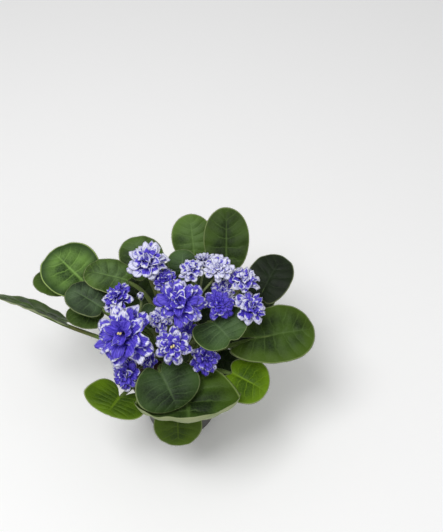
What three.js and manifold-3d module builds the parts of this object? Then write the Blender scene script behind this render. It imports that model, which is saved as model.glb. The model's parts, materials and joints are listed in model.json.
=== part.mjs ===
// Potted African violet with double flowers, in a 9 cm nursery pot.
//
// Millimetres, +Z up. The origin is the middle of the pot's flat underside, and -Y is the plant's front.
// Every leaf is one grown piece (petiole and blade), so it is one solid. A flower stalk is one solid
// with the pedicels that branch from it, and each flower and bud is its own solid at a pedicel's end.

import * as THREE from 'three';
import { mergeVertices } from 'three/addons/utils/BufferGeometryUtils.js';
import Module from 'manifold-3d';

const wasm = await Module();
wasm.setup();

// ---------------------------------------------------------------- driving dimensions

const CLEARANCE = 0.3; // gap between two pieces that touch

const POT = {
  height: 85,
  baseRadius: 32,
  shoulderRadius: 42, // outside of the wall just under the rim band
  rimRadius: 45,
  rimHeight: 9,
  lip: 1.4, // how far the rolled edge stands out from the rim band, and its height
  wall: 1.8,
  floor: 2.5,
  segments: 40,
  drainHoles: 6,
  drainRadius: 4,
  drainCircle: 21,
  drainSegments: 12,
  footEdge: 1, // bevel around the underside
};

const SOIL = {
  edgeHeight: 74, // where the soil meets the pot
  middleHeight: 77, // where it meets the crown
  wellDepth: 12,
  crest: 1, // how much higher than its edge the soil is halfway in
  crestRadius: 25,
  segments: 24,
};

const CROWN = {
  radius: 9.5, // at soil level
  topRadius: 7,
  topHeight: 99,
  rootTaper: 1.5, // the buried end is this much narrower
  rootTaperHeight: 2,
  tipRadius: 4.2, // of the flat growing point
  tipHeight: 2,
  segments: 16,
  levels: [80, 84.5, 89, 93.5], // heights at which petioles leave it, oldest leaves lowest
};

const PETIOLE = {
  radius: 1.9,
  sides: 6,
  steps: 6,
  insideBlade: 5, // how far it runs on under the blade, past the notch
  sink: 0.6, // depth of its axis under the blade's middle, as a share of its radius
  rise: 30, // angle above level at which it leaves the crown
  curve: 0.35, // reach of the curve's handles, as a share of the straight distance
};

// A blade's outline is an oval around a point on the midrib, with a notch where the petiole comes in.
const BLADE = {
  centre: 0.45, // of the length from the notch to the tip
  thickness: 2,
  biteAngle: 16, // half the angle that a bite takes out of the tip
  around: 16,
  outward: 6,
  bendSteps: 12,
};

// name; bottom of the notch; heading, pitch, roll; droop, cup; length, width; lobe, notch;
// heading and level at the crown
// Angles are in degrees. A positive droop curls the tip down, and a positive cup lifts both sides.
// Length runs from the notch to the tip. Lobe is how far the basal lobes reach behind the notch, as a
// share of the length. Notch is half the angle that it takes out of the outline. A third number there
// is a bite out of the tip, as a share of the distance from the blade's centre.
const LEAVES = [
  ['leaf_left_rear_large', [-81, 54, 124], [140, 24, -6], [25, 14], [44, 53], [0.2, 16], [133, 1]],
  ['leaf_left_rear_inner', [-42, 50, 134], [168, 10, 0], [20, 10], [40, 36], [0.17, 16], [124, 2]],
  ['leaf_left_middle', [-63, 26, 128], [150, 12, 0], [20, 12], [36, 34], [0.17, 16], [150, 2]],
  ['leaf_left_small', [-66, 22, 115], [166, 6, -6], [15, 10], [31, 24], [0.17, 16], [160, 1]],
  ['leaf_left_folded', [-96, 22.5, 110], [166, 20, 50], [0, 30], [64.5, 46], [0.17, 16], [171, 0]],
  ['leaf_left_outer', [-101, 57.5, 112], [155, 8, 0], [15, 12], [32, 28], [0.17, 16], [150, 0]],
  ['leaf_young_left', [-17, 1, 136], [108, 20, 0], [20, 20], [22, 15], [0.17, 16], [165, 3]],
  ['leaf_rear_small', [4, 59, 133], [88, 32, 0], [20, 15], [22, 26], [0.17, 16], [90, 2]],
  ['leaf_rear_left', [-26, 66, 122], [115, 22, 0], [20, 15], [40, 40], [0.17, 16], [108, 1]],
  ['leaf_rear_round', [14, 86, 124], [98, 42, 0], [10, 16], [38, 38], [0.17, 16], [82, 1]],
  ['leaf_rear_tall', [43, 72, 128], [90, 38, 0], [10, 20], [52, 41], [0.17, 16], [58, 1]],
  ['leaf_right_rear', [72, 42, 122], [60, 20, 0], [20, 16], [44, 40], [0.17, 16], [34, 1]],
  ['leaf_right_shaded', [42, 12, 99], [22, 6, 0], [15, 12], [46, 30], [0.17, 16], [18, 0]],
  ['leaf_right_large', [68, 2, 118], [8, 6, 8], [12, 10], [50, 53], [0.55, 5], [0, 1]],
  ['leaf_right_inner', [32, 2, 142], [308, 4, 2], [20, 34], [26, 50], [0.5, 30, 0.25], [345, 3]],
  ['leaf_front_right_pale', [47, -22, 101], [332, -3, 0], [20, 10], [34, 44], [0.2, 16], [328, 0]],
  ['leaf_front_broad', [10, -34, 102], [274, -5, 0], [-105, 12], [55, 87], [0.38, 16], [286, 1]],
  ['leaf_front_dark', [-11, -33, 121], [299, -16, -2], [15, 10], [33, 55], [0.3, 12], [250, 3]],
  ['leaf_front_left', [-46, -42, 96], [245, 16, 0], [10, 25], [21, 56], [1.05, 26], [224, 1]],
  ['leaf_front_low', [2, -50, 90], [272, -40, 0], [20, -16], [32, 41], [0.17, 16], [262, 0]],
  ['leaf_rear_low', [2, 50, 98], [92, 6, 0], [15, 12], [54, 44], [0.17, 16], [94, 0]],
  ['leaf_rear_right_low', [56, 44, 103], [38, 6, 0], [15, 12], [35, 38], [0.17, 16], [44, 0]],
  ['leaf_rear_left_low', [-25, 37, 97], [119, 4, 0], [15, 12], [55, 42], [0.17, 16], [126, 0]],
  ['leaf_young_front', [5, -12, 112], [290, 40, 0], [20, 20], [14, 12], [0.17, 16], [288, 3]],
  ['leaf_young_rear', [2, 16, 113], [80, 40, 0], [20, 20], [15, 12], [0.17, 16], [86, 3]],
  ['leaf_inner_rear', [22, 38, 124], [56, 6, 0], [15, 12], [32, 30], [0.17, 16], [42, 3]],
  ['leaf_inner_right_rear', [24, 20, 109], [46, 4, 0], [15, 12], [29, 28], [0.17, 16], [30, 2]],
  ['leaf_inner_rear_left', [-25, 24, 105.5], [120, 0, 0], [15, 12], [13, 15], [0.17, 16], [142, 3]],
  ['leaf_inner_right', [27, -2.5, 90], [354, 2, 0], [15, 12], [29, 25], [0.17, 16], [338, 2]],
];

const STALK = {
  radius: 1.8,
  sides: 6,
  steps: 6,
  rise: 60,
  curve: 0.35,
};

const PEDICEL = { radius: 1.1, sides: 5, steps: 5, curve: 0.3 };

const FLOWER = {
  profile: [[0, -0.5], [0.35, -0.42], [0.85, -0.12], [1, 0.08], [0.85, 0.36], [0.5, 0.54], [0, 0.6]],
  depth: 0.5, // from its middle to its back, as a share of its radius
  segments: 12,
};

const BUD = { height: 1.3, around: 10, upward: 6 }; // height as a share of its width

// name; heading and height at the crown; point where its pedicels part
const STALKS = [
  ['stalk_rear_left', [112, 96], [-14, 34, 132]],
  ['stalk_left', [195, 95], [-34, -6, 126]],
  ['stalk_middle', [135, 97], [0, 6, 138]],
  ['stalk_rear', [62, 96], [20, 28, 140]],
  ['stalk_right', [20, 96], [40, 16, 132]],
  ['stalk_front_left', [225, 96], [-10, -12, 112]],
  ['stalk_front_right', [320, 95], [16, -12, 108]],
];

// name; middle of the flower; heading and rise that it faces; radius; stalk
const FLOWERS = [
  ['flower_rear_left', [-23, 49.3, 165], [200, 82], 18, 0],
  ['flower_rear_left_low', [-8, 36, 154], [300, 60], 11, 0],
  ['flower_rear', [14, 40, 164], [220, 80], 11, 3],
  ['flower_rear_white', [36.4, 39, 168], [250, 80], 12.7, 3],
  ['flower_rear_right', [58, 33, 160.5], [20, 76], 13.2, 4],
  ['flower_top', [6, 3, 170], [280, 76], 20, 2],
  ['flower_right_blue', [37, 9.5, 158], [300, 70], 13, 4],
  ['flower_right', [63.5, 9, 154], [340, 62], 14.6, 4],
  ['flower_left_upper', [-47, 16, 158], [190, 66], 14, 1],
  ['flower_left', [-39, -19, 156], [235, 58], 25, 1],
  ['flower_front', [0, -25, 148], [275, 55], 15, 5],
  ['flower_centre_low', [-12, 4, 144], [240, 60], 11, 2],
  ['flower_centre_right', [10, -3, 138], [280, 60], 10, 2],
  ['flower_front_low', [-40, -33, 118], [225, 40], 14, 5],
  ['flower_right_low', [26, -22, 124], [310, 50], 13, 6],
  ['flower_rear_low', [25, 62, 149.5], [70, 56], 11, 3],
  ['flower_rear_middle', [40, 29, 149], [270, 58], 10, 4],
  ['flower_front_inner', [-22, -22, 121], [235, 50], 8.5, 5],
];

// name; middle; radius; stalk
const BUDS = [
  ['bud_left', [-27, 16, 158], 3.2, 1],
  ['bud_rear', [-6, 54, 140], 3, 0],
  ['bud_right', [49, 17, 151], 3, 4],
];

const FINISHES = {
  pot: { color: 0x35302c, roughness: 0.5 },
  soil: { color: 0x33251b, roughness: 1 },
  crown: { color: 0x6f7f45, roughness: 0.8 },
  leaf: { color: 0x3f5a2c, roughness: 0.7 },
  stalk: { color: 0x76844f, roughness: 0.8 },
  flower: { color: 0x5a4bc0, roughness: 0.8 },
  bud: { color: 0xb6c39a, roughness: 0.8 },
};

// ---------------------------------------------------------------- helpers

const radians = THREE.MathUtils.degToRad;
const violet = new THREE.Group();

function addPiece(name, geometry, finish) {
  const mesh = new THREE.Mesh(geometry, new THREE.MeshStandardMaterial({ ...finish, metalness: 0 }));
  mesh.name = name;
  violet.add(mesh);
}

function toSolid(geometry) {
  const bare = geometry.clone();
  bare.deleteAttribute('normal');
  bare.deleteAttribute('uv');
  const merged = mergeVertices(bare, 1e-4);
  const mesh = new wasm.Mesh({
    numProp: 3,
    vertProperties: new Float32Array(merged.attributes.position.array),
    triVerts: new Uint32Array(merged.index.array),
  });
  return new wasm.Manifold(mesh);
}

function toGeometry(solid) {
  const mesh = solid.getMesh();
  const geometry = new THREE.BufferGeometry();
  geometry.setAttribute('position', new THREE.BufferAttribute(mesh.vertProperties, 3));
  geometry.setIndex(new THREE.BufferAttribute(mesh.triVerts, 1));
  geometry.computeVertexNormals();
  return geometry;
}

/** A closed lathe around Z from [radius, height] pairs that run from the bottom up the outside. */
function turned(pairs, segments) {
  const profile = pairs.map(([radius, height]) => new THREE.Vector2(radius, height));
  return new THREE.LatheGeometry(profile, segments).rotateX(Math.PI / 2);
}

/** A closed tube of regular section along a curve. */
function tube(curve, radius, sides, steps) {
  const section = new THREE.Shape();
  for (let i = 0; i < sides; i += 1) {
    const angle = (2 * Math.PI * i) / sides;
    const method = i === 0 ? 'moveTo' : 'lineTo';
    section[method](radius * Math.cos(angle), radius * Math.sin(angle));
  }
  section.closePath();
  return new THREE.ExtrudeGeometry(section, { steps, extrudePath: curve });
}

/** The unit vector at a heading around Z and a rise above level, both in degrees. */
function direction(heading, rise) {
  const level = Math.cos(radians(rise));
  return new THREE.Vector3(
    level * Math.cos(radians(heading)),
    level * Math.sin(radians(heading)),
    Math.sin(radians(rise)),
  );
}

/** The crown's radius at a height. */
function crownRadius(height) {
  const share = (height - SOIL.middleHeight) / (CROWN.topHeight - SOIL.middleHeight);
  return THREE.MathUtils.lerp(CROWN.radius, CROWN.topRadius, THREE.MathUtils.clamp(share, 0, 1));
}

/** Where the middle of a tube's end sits, so that the tube leaves the crown with its rim just clear of it. */
function crownPoint(heading, height, tubeRadius, rise) {
  const away = crownRadius(height) + CLEARANCE + tubeRadius * Math.sin(radians(rise));
  return direction(heading, 0).multiplyScalar(away).setZ(height);
}

// ---------------------------------------------------------------- pot, soil and crown

/** The inside radius of the pot's wall below the rim band. */
function potInside(height) {
  const shoulder = POT.height - POT.rimHeight;
  return THREE.MathUtils.lerp(POT.baseRadius, POT.shoulderRadius, height / shoulder) - POT.wall;
}

function makePot() {
  const shoulder = POT.height - POT.rimHeight;
  const rimInside = POT.rimRadius - POT.wall;
  const wall = turned([
    [0, 0],
    [POT.baseRadius - POT.footEdge, 0],
    [POT.baseRadius, POT.footEdge],
    [POT.shoulderRadius, shoulder],
    [POT.rimRadius, shoulder],
    [POT.rimRadius, POT.height - POT.lip],
    [POT.rimRadius + POT.lip, POT.height - POT.lip],
    [POT.rimRadius + POT.lip, POT.height],
    [rimInside, POT.height],
    [rimInside, shoulder + POT.wall],
    [potInside(shoulder + POT.wall), shoulder + POT.wall],
    [potInside(POT.floor), POT.floor],
    [0, POT.floor],
  ], POT.segments);
  let pot = toSolid(wall);
  for (let i = 0; i < POT.drainHoles; i += 1) {
    const { drainRadius, drainSegments, floor } = POT;
    const hole = new THREE.CylinderGeometry(drainRadius, drainRadius, 3 * floor, drainSegments);
    hole.rotateX(Math.PI / 2);
    hole.translate(POT.drainCircle, 0, 0);
    hole.rotateZ((2 * Math.PI * i) / POT.drainHoles);
    pot = pot.subtract(toSolid(hole));
  }
  return toGeometry(pot);
}

function makeSoil() {
  const bottom = POT.floor + CLEARANCE;
  const well = CROWN.radius + CLEARANCE;
  return turned([
    [0, bottom],
    [potInside(bottom) - CLEARANCE, bottom],
    [potInside(SOIL.edgeHeight) - CLEARANCE, SOIL.edgeHeight],
    [SOIL.crestRadius, SOIL.edgeHeight + SOIL.crest],
    [well, SOIL.middleHeight],
    [well, SOIL.middleHeight - SOIL.wellDepth],
    [0, SOIL.middleHeight - SOIL.wellDepth],
  ], SOIL.segments);
}

function makeCrown() {
  const bottom = SOIL.middleHeight - SOIL.wellDepth + CLEARANCE;
  return turned([
    [0, bottom],
    [CROWN.radius - CROWN.rootTaper, bottom],
    [CROWN.radius, bottom + CROWN.rootTaperHeight],
    [CROWN.radius, SOIL.middleHeight],
    [CROWN.topRadius, CROWN.topHeight - CROWN.tipHeight],
    [CROWN.tipRadius, CROWN.topHeight],
    [0, CROWN.topHeight],
  ], CROWN.segments);
}

// ---------------------------------------------------------------- leaves

/** A leaf's own axes: x along the midrib, y to its left, z out of its upper face. */
function leafTurn(leaf) {
  const angles = new THREE.Euler(radians(leaf.roll), radians(-leaf.pitch), radians(leaf.heading), 'ZYX');
  return new THREE.Quaternion().setFromEuler(angles);
}

/** Distance from the outline's centre to the margin, at an angle from the tip's direction. */
function bladeReach(leaf, angle) {
  const share = Math.cos(angle) > 0 ? 1 - BLADE.centre : BLADE.centre + leaf.lobe;
  const oval = Math.hypot(Math.cos(angle) / (share * leaf.length), Math.sin(angle) / (leaf.width / 2));
  const notchDepth = leaf.lobe / (BLADE.centre + leaf.lobe);
  const fromNotch = (Math.PI - Math.abs(angle)) / radians(leaf.notch);
  const fromBite = angle / radians(BLADE.biteAngle);
  const notched = 1 - notchDepth * Math.exp(-fromNotch * fromNotch);
  const bitten = 1 - leaf.bite * Math.exp(-fromBite * fromBite);
  return (notched * bitten) / oval;
}

/** Follows a line whose slope grows with the square of the distance, up to total (radians) at span. */
function bend(distance, span, total) {
  if (distance <= 0) return { along: distance, rise: 0, slope: 0 };
  const step = distance / BLADE.bendSteps;
  let along = 0;
  let rise = 0;
  for (let i = 0; i < BLADE.bendSteps; i += 1) {
    const slope = total * (((i + 0.5) * step) / span) ** 2;
    along += step * Math.cos(slope);
    rise += step * Math.sin(slope);
  }
  return { along, rise, slope: total * (distance / span) ** 2 };
}

/** How far forward the bend of the midrib is complete. An upturned margin follows the outline's curve. */
function bendSpan(leaf, sideways) {
  if (leaf.droop > 0) return leaf.length;
  const across = Math.min(Math.abs(sideways) / (leaf.width / 2), 1);
  return leaf.length * (BLADE.centre + (1 - BLADE.centre) * Math.sqrt(1 - across * across));
}

/** A point of the blade: forward from the notch along the midrib, sideways to the left, up from the face. */
function bladePoint(leaf, forward, sideways, up) {
  const midrib = bend(forward, bendSpan(leaf, sideways), radians(-leaf.droop));
  const across = bend(Math.abs(sideways), leaf.width / 2, radians(leaf.cup));
  const lift = across.rise + up;
  const point = new THREE.Vector3(
    midrib.along - lift * Math.sin(midrib.slope),
    Math.sign(sideways) * across.along,
    midrib.rise + lift * Math.cos(midrib.slope),
  );
  return point.applyQuaternion(leafTurn(leaf)).add(leaf.at);
}

function makeBlade(leaf) {
  const blade = new THREE.SphereGeometry(1, BLADE.around, BLADE.outward);
  const position = blade.attributes.position;
  for (let i = 0; i < position.count; i += 1) {
    const x = position.getX(i);
    const y = position.getZ(i);
    const share = Math.hypot(x, y);
    const reach = share * bladeReach(leaf, Math.atan2(y, x));
    const forward = BLADE.centre * leaf.length + (share > 0 ? (reach * x) / share : 0);
    const sideways = share > 0 ? (-reach * y) / share : 0;
    const point = bladePoint(leaf, forward, sideways, (position.getY(i) * BLADE.thickness) / 2);
    position.setXYZ(i, point.x, point.y, point.z);
  }
  return blade;
}

function makePetiole(leaf) {
  const { radius, sides, steps, insideBlade, sink, rise, curve } = PETIOLE;
  const start = crownPoint(leaf.crownHeading, CROWN.levels[leaf.level], radius, rise);
  const end = bladePoint(leaf, insideBlade, 0, -sink * radius);
  const reach = curve * start.distanceTo(end);
  const out = direction(leaf.crownHeading, rise).multiplyScalar(reach).add(start);
  const back = bladePoint(leaf, insideBlade - reach, 0, -sink * radius);
  return tube(new THREE.CubicBezierCurve3(start, out, back, end), radius, sides, steps);
}

function makeLeaf(leaf) {
  return toGeometry(toSolid(makeBlade(leaf)).add(toSolid(makePetiole(leaf))));
}

// ---------------------------------------------------------------- flowers and their stalks

/** The head of a double flower is a dome. Radii and heights are shares of the flower's radius. */
function makeFlower(flower) {
  const profile = FLOWER.profile.map(([radius, height]) => [radius * flower.radius, height * flower.radius]);
  const head = turned(profile, FLOWER.segments);
  const up = new THREE.Vector3(0, 0, 1);
  head.applyQuaternion(new THREE.Quaternion().setFromUnitVectors(up, flower.facing));
  return head.translate(flower.at.x, flower.at.y, flower.at.z);
}

function makeBud(bud) {
  const body = new THREE.SphereGeometry(bud.radius, BUD.around, BUD.upward);
  body.rotateX(Math.PI / 2);
  body.scale(1, 1, BUD.height);
  return body.translate(bud.at.x, bud.at.y, bud.at.z);
}

/** One tube from the crown to the fork, and one thinner tube from the fork to each flower or bud. */
function makeStalk(stalk, heads) {
  const start = crownPoint(stalk.heading, stalk.height, STALK.radius, STALK.rise);
  const span = start.distanceTo(stalk.fork);
  const out = direction(stalk.heading, STALK.rise).multiplyScalar(STALK.curve * span).add(start);
  const under = stalk.fork.clone().setZ(stalk.fork.z - STALK.curve * span);
  const stem = new THREE.CubicBezierCurve3(start, out, under, stalk.fork);
  let solid = toSolid(tube(stem, STALK.radius, STALK.sides, STALK.steps));
  for (const head of heads) {
    const root = stalk.fork.clone().setZ(stalk.fork.z - STALK.radius);
    const end = head.at.clone().addScaledVector(head.facing, -head.depth - CLEARANCE);
    const reach = PEDICEL.curve * root.distanceTo(end);
    const leave = root.clone().setZ(root.z + reach);
    const arrive = end.clone().addScaledVector(head.facing, -reach);
    const path = new THREE.CubicBezierCurve3(root, leave, arrive, end);
    const pedicel = tube(path, PEDICEL.radius, PEDICEL.sides, PEDICEL.steps);
    solid = solid.add(toSolid(pedicel));
  }
  return toGeometry(solid);
}

// ---------------------------------------------------------------- assembly

addPiece('pot', makePot(), FINISHES.pot);
addPiece('soil', makeSoil(), FINISHES.soil);
addPiece('crown', makeCrown(), FINISHES.crown);

for (const [name, notchAt, turns, bends, size, base, crown] of LEAVES) {
  const [heading, pitch, roll] = turns;
  const [droop, cup] = bends;
  const [length, width] = size;
  const [lobe, notch, bite = 0] = base;
  const [crownHeading, level] = crown;
  const at = new THREE.Vector3(...notchAt);
  const outline = { length, width, lobe, notch, bite };
  const leaf = { at, heading, pitch, roll, droop, cup, ...outline, crownHeading, level };
  addPiece(name, makeLeaf(leaf), FINISHES.leaf);
}

const heads = STALKS.map(() => []);
for (const [name, middle, facing, radius, stalk] of FLOWERS) {
  const at = new THREE.Vector3(...middle);
  const flower = { at, facing: direction(...facing), radius, depth: FLOWER.depth * radius };
  heads[stalk].push(flower);
  addPiece(name, makeFlower(flower), FINISHES.flower);
}
for (const [name, middle, radius, stalk] of BUDS) {
  const at = new THREE.Vector3(...middle);
  const bud = { at, facing: new THREE.Vector3(0, 0, 1), radius, depth: BUD.height * radius };
  heads[stalk].push(bud);
  addPiece(name, makeBud(bud), FINISHES.bud);
}
STALKS.forEach(([name, [heading, height], fork], i) => {
  const stalk = { heading, height, fork: new THREE.Vector3(...fork) };
  addPiece(name, makeStalk(stalk, heads[i]), FINISHES.stalk);
});

export default violet;
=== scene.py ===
# %% [markdown]
# # A potted African violet
# This lesson grows one house plant: a rosette of hairy leaves and a dome of double flowers in a small nursery pot.
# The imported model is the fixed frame. Each of its solids is replaced by a finer piece that fills the same space.

# %% Load the fixed frame
import json
import math
import random

import bmesh
import bpy
from mathutils import Euler, Matrix, Vector, noise


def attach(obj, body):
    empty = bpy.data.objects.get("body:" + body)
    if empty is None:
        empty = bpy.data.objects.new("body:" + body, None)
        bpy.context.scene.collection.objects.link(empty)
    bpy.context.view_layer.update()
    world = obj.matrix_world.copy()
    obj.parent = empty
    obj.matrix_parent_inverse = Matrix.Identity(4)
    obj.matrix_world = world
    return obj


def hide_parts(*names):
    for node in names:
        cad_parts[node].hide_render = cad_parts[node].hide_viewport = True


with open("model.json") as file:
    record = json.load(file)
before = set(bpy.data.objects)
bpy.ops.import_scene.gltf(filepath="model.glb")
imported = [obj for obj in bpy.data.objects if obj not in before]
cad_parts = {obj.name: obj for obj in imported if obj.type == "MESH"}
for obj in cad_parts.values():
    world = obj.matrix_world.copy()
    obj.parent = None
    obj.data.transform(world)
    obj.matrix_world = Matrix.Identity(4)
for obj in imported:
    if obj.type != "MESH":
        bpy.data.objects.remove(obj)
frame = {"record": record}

noise.seed_set(1)  # without a seed, Blender's vector noise starts from the clock
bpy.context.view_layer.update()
SLOTS = {row["node"]: row["material_slot"] for row in frame["record"]["subparts"]}
print(len(SLOTS), "solids to replace")

# %% [markdown]
# ## The camera comes first
# The photograph looks down on the plant from in front, at 52 degrees, from about as far as an arm reaches.
# A camera turned by 38 degrees from straight down has that view. Its lens follows from the size of a pixel.

# %% The camera
CAMERA_PLACE = (0.038675, -0.347265, 0.663549)
CAMERA_TILT = math.radians(38)
CAMERA_LENS, SENSOR_WIDTH = 51.747, 36


def show(name, data, place=(0, 0, 0)):
    """Makes an object of this data, puts it in the scene and returns it."""
    shown = bpy.data.objects.new(name, data)
    shown.location = place
    bpy.context.scene.collection.objects.link(shown)
    return shown


camera = show("camera", bpy.data.cameras.new("camera"), CAMERA_PLACE)
camera.rotation_euler = (CAMERA_TILT, 0, 0)
camera.data.lens, camera.data.sensor_width = CAMERA_LENS, SENSOR_WIDTH
bpy.context.scene.camera = camera
print("camera stands", round(camera.location.length, 3), "m from the pot's foot")

# %% [markdown]
# ## Faces that point outwards
# A piece is made of many closed shells, such as petals and hairs. Blender can make the faces of each shell agree,
# but it may turn a thin curled petal inside out. The volume of such a shell is below zero, which gives it away.

# %% Turn every shell's faces outwards
def shells(drawing):
    """Yields the faces of each shell, which are the ones that hang together."""
    found = set()
    for first in drawing.faces:
        if first in found:
            continue
        shell, waiting = [], [first]
        found.add(first)
        while waiting:
            shell.append(waiting.pop())
            for edge in shell[-1].edges:
                fresh = [face for face in edge.link_faces if face not in found]
                found.update(fresh)
                waiting.extend(fresh)
        yield shell


def signed_volume(shell):
    """The volume inside a closed shell, from the pyramids that one of its points makes with each triangle."""
    point, volume = shell[0].verts[0].co.copy(), 0
    for face in shell:
        first, *others = [vertex.co - point for vertex in face.verts]
        volume += sum(first.dot(second.cross(third)) for second, third in zip(others, others[1:])) / 6
    return volume


def face_outwards(drawing):
    """Makes each shell's faces agree with each other, and then turns the shells that are inside out."""
    bmesh.ops.recalc_face_normals(drawing, faces=drawing.faces)
    inside_out = [face for shell in shells(drawing) if signed_volume(shell) < 0 for face in shell]
    bmesh.ops.reverse_faces(drawing, faces=inside_out)


trial = bmesh.new()
bmesh.ops.create_cube(trial, size=2)
bmesh.ops.reverse_faces(trial, faces=trial.faces)
print("a 2 mm cube turned inside out has a volume of", round(signed_volume(list(trial.faces)), 3))
trial.free()

# %% [markdown]
# ## From a drawing in millimetres to a piece
# A plant is measured in millimetres and Blender works in metres, so every mesh is drawn in millimetres first, with
# bmesh. The last step scales it and lets it ride on the plant's only body. It stands for one solid.

# %% Finish a piece
MM = 0.001


def finished_mesh(drawing, name):
    """Ends a drawing and returns its mesh."""
    mesh = bpy.data.meshes.new(name)
    drawing.to_mesh(mesh)
    drawing.free()
    return mesh


def pour(part, drawing):
    """Ends a small drawing and adds its mesh to a larger one."""
    mesh = finished_mesh(part, "part")
    drawing.from_mesh(mesh)
    bpy.data.meshes.remove(mesh)


def make_piece(drawing, name, materials, node):
    """Scales the drawing to metres and makes it an object that stands for this CAD node."""
    face_outwards(drawing)
    bmesh.ops.scale(drawing, vec=(MM, MM, MM), verts=drawing.verts)
    for face in drawing.faces:
        face.smooth = True
    piece = show(name, finished_mesh(drawing, name))
    for material in materials:
        piece.data.materials.append(material)
    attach(piece, "root")
    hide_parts(node)
    return piece


print("finish slots:", sorted(set(SLOTS.values())))

# %% [markdown]
# ## Small tools for materials
# A material is a tree of nodes. These helpers add a node, mix two colours, do a sum, or turn a range into a mask,
# so that the trees below read like recipes.

# %% Node helpers
def paint(red, green, blue):
    """A screen colour from 0 to 255 as the linear colour that a shader wants."""
    screen = [value / 255 for value in (red, green, blue)]
    return [s / 12.92 if s <= 0.04045 else ((s + 0.055) / 1.055) ** 2.4 for s in screen] + [1]


def fill(tree, node, inputs):
    """Gives a node's inputs their values, or links them to other nodes' sockets."""
    for name, value in inputs.items():
        if isinstance(value, bpy.types.NodeSocket):
            tree.links.new(value, node.inputs[name])
        else:
            node.inputs[name].default_value = value


def add(tree, kind, inputs, **settings):
    """A new node with these settings and inputs."""
    made = tree.nodes.new(kind)
    for name, value in settings.items():
        setattr(made, name, value)
    fill(tree, made, inputs)
    return made


def sums(tree, operation, *values):
    """The result of a Math node."""
    return add(tree, "ShaderNodeMath", dict(enumerate(values)), operation=operation).outputs[0]


def times(tree, *values):
    """Two values multiplied, and a third one added if there is one."""
    return sums(tree, "MULTIPLY" if len(values) == 2 else "MULTIPLY_ADD", *values)


def mask(tree, value, low, high):
    """0 where the value is at low, 1 where it is at high, and smooth in between."""
    made = add(tree, "ShaderNodeMapRange", {"Value": value, "From Min": low, "From Max": high},
               interpolation_type="SMOOTHSTEP")
    return made.outputs["Result"]


def mix(tree, share, first, second):
    """The first colour, with the second laid over it by a share from 0 to 1."""
    return add(tree, "ShaderNodeMix", {0: share, 6: first, 7: second}, data_type="RGBA").outputs[2]


print("screen grey 128 as a linear colour:", [round(value, 3) for value in paint(128, 128, 128)])

# %% [markdown]
# Patterns need a place to read. Body place is where a point is on the plant in metres. A leaf or a petal also
# carries its own places as attributes of its mesh, so that a pattern on it follows every bend.

# %% Places and patterns
def body_place(tree):
    """Where a point is on the plant, in metres."""
    return add(tree, "ShaderNodeTexCoord", {}).outputs["Object"]


def carried(tree, name, socket="Vector"):
    """What the mesh carries at each of its points under this name. A number is read from the socket Fac."""
    return add(tree, "ShaderNodeAttribute", {}, attribute_name=name).outputs[socket]


def axes(tree, vector):
    """The three numbers of a vector, as X, Y and Z."""
    return add(tree, "ShaderNodeSeparateXYZ", {"Vector": vector}).outputs


def clouds(tree, place, scale, detail=2.0, **more):
    """Soft noise."""
    inputs = {"Vector": place, "Scale": scale, "Detail": detail, **more}
    return add(tree, "ShaderNodeTexNoise", inputs).outputs["Fac"]


def dots(tree, place, scale, feature="F1"):
    """How far a place is from the nearest of many scattered dots, or from the border between their cells."""
    return add(tree, "ShaderNodeTexVoronoi", {"Vector": place, "Scale": scale}, feature=feature).outputs["Distance"]


def stretched(tree, place, sizes):
    """A place scaled by its own number along each axis, so that a pattern on it grows long."""
    return add(tree, "ShaderNodeMapping", {"Vector": place, "Scale": sizes}).outputs["Vector"]


def bumps(tree, height, strength, depth):
    """A normal that follows this height, for a relief of so many metres."""
    return add(tree, "ShaderNodeBump", {"Height": height, "Strength": strength, "Distance": depth}).outputs["Normal"]


def new_group(name, inputs, outputs):
    """A node group, the sockets that it reads and its output node. An input of None is a place."""
    group = bpy.data.node_groups.new(name, "ShaderNodeTree")
    for label, value in inputs.items():
        kind = "NodeSocketVector" if value is None else "NodeSocketFloat"
        socket = group.interface.new_socket(label, in_out="INPUT", socket_type=kind)
        if value is not None:
            socket.default_value = value
    for label in outputs:
        group.interface.new_socket(label, in_out="OUTPUT", socket_type="NodeSocketFloat")
    return group, add(group, "NodeGroupInput", {}).outputs, add(group, "NodeGroupOutput", {})


def place_group(tree, group, **inputs):
    """The outputs of a node group placed with these inputs. An underscore in a name stands for a space."""
    values = {name.replace("_", " "): value for name, value in inputs.items()}
    return add(tree, "ShaderNodeGroup", values, node_tree=group).outputs


def new_material(name):
    """A material with only its Principled shader, ready to be fed."""
    material = bpy.data.materials.new(name)
    material.use_nodes = True
    return material, material.node_tree, material.node_tree.nodes["Principled BSDF"]


print("plain materials that came with the frame:", len(bpy.data.materials))

# %% [markdown]
# ## Effects that several materials share
# Plant tissue is never one flat colour: broad soft patches lie under finer ones. That is the first group.
# The second is the nap of short hairs that makes this plant look like velvet, as a height and a change of gloss.

# %% Node groups: mottling and nap
BROAD_SHARE, FINE_SHARE = 0.88, 0.12
PATCH_FROM, PATCH_TO = 0.33, 0.67

mottling, source, result = new_group(
    "soft_mottling", {"Place": None, "Broad Scale": 60.0, "Fine Scale": 260.0}, ["Mask"]
)
broad = clouds(mottling, source["Place"], source["Broad Scale"], 1.0)
fine = clouds(mottling, source["Place"], source["Fine Scale"], 3.0)
both = sums(mottling, "ADD", times(mottling, broad, BROAD_SHARE), times(mottling, fine, FINE_SHARE))
fill(mottling, result, {"Mask": mask(mottling, both, PATCH_FROM, PATCH_TO)})

nap, source, result = new_group("velvet_nap", {"Place": None, "Hair Scale": 1400.0}, ["Height", "Gloss"])
hairs = dots(nap, source["Place"], source["Hair Scale"])
drift = clouds(nap, source["Place"], source["Hair Scale"])
fill(nap, result, {"Height": sums(nap, "SUBTRACT", drift, hairs), "Gloss": drift})
print("groups made:", [group.name for group in bpy.data.node_groups])

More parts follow.
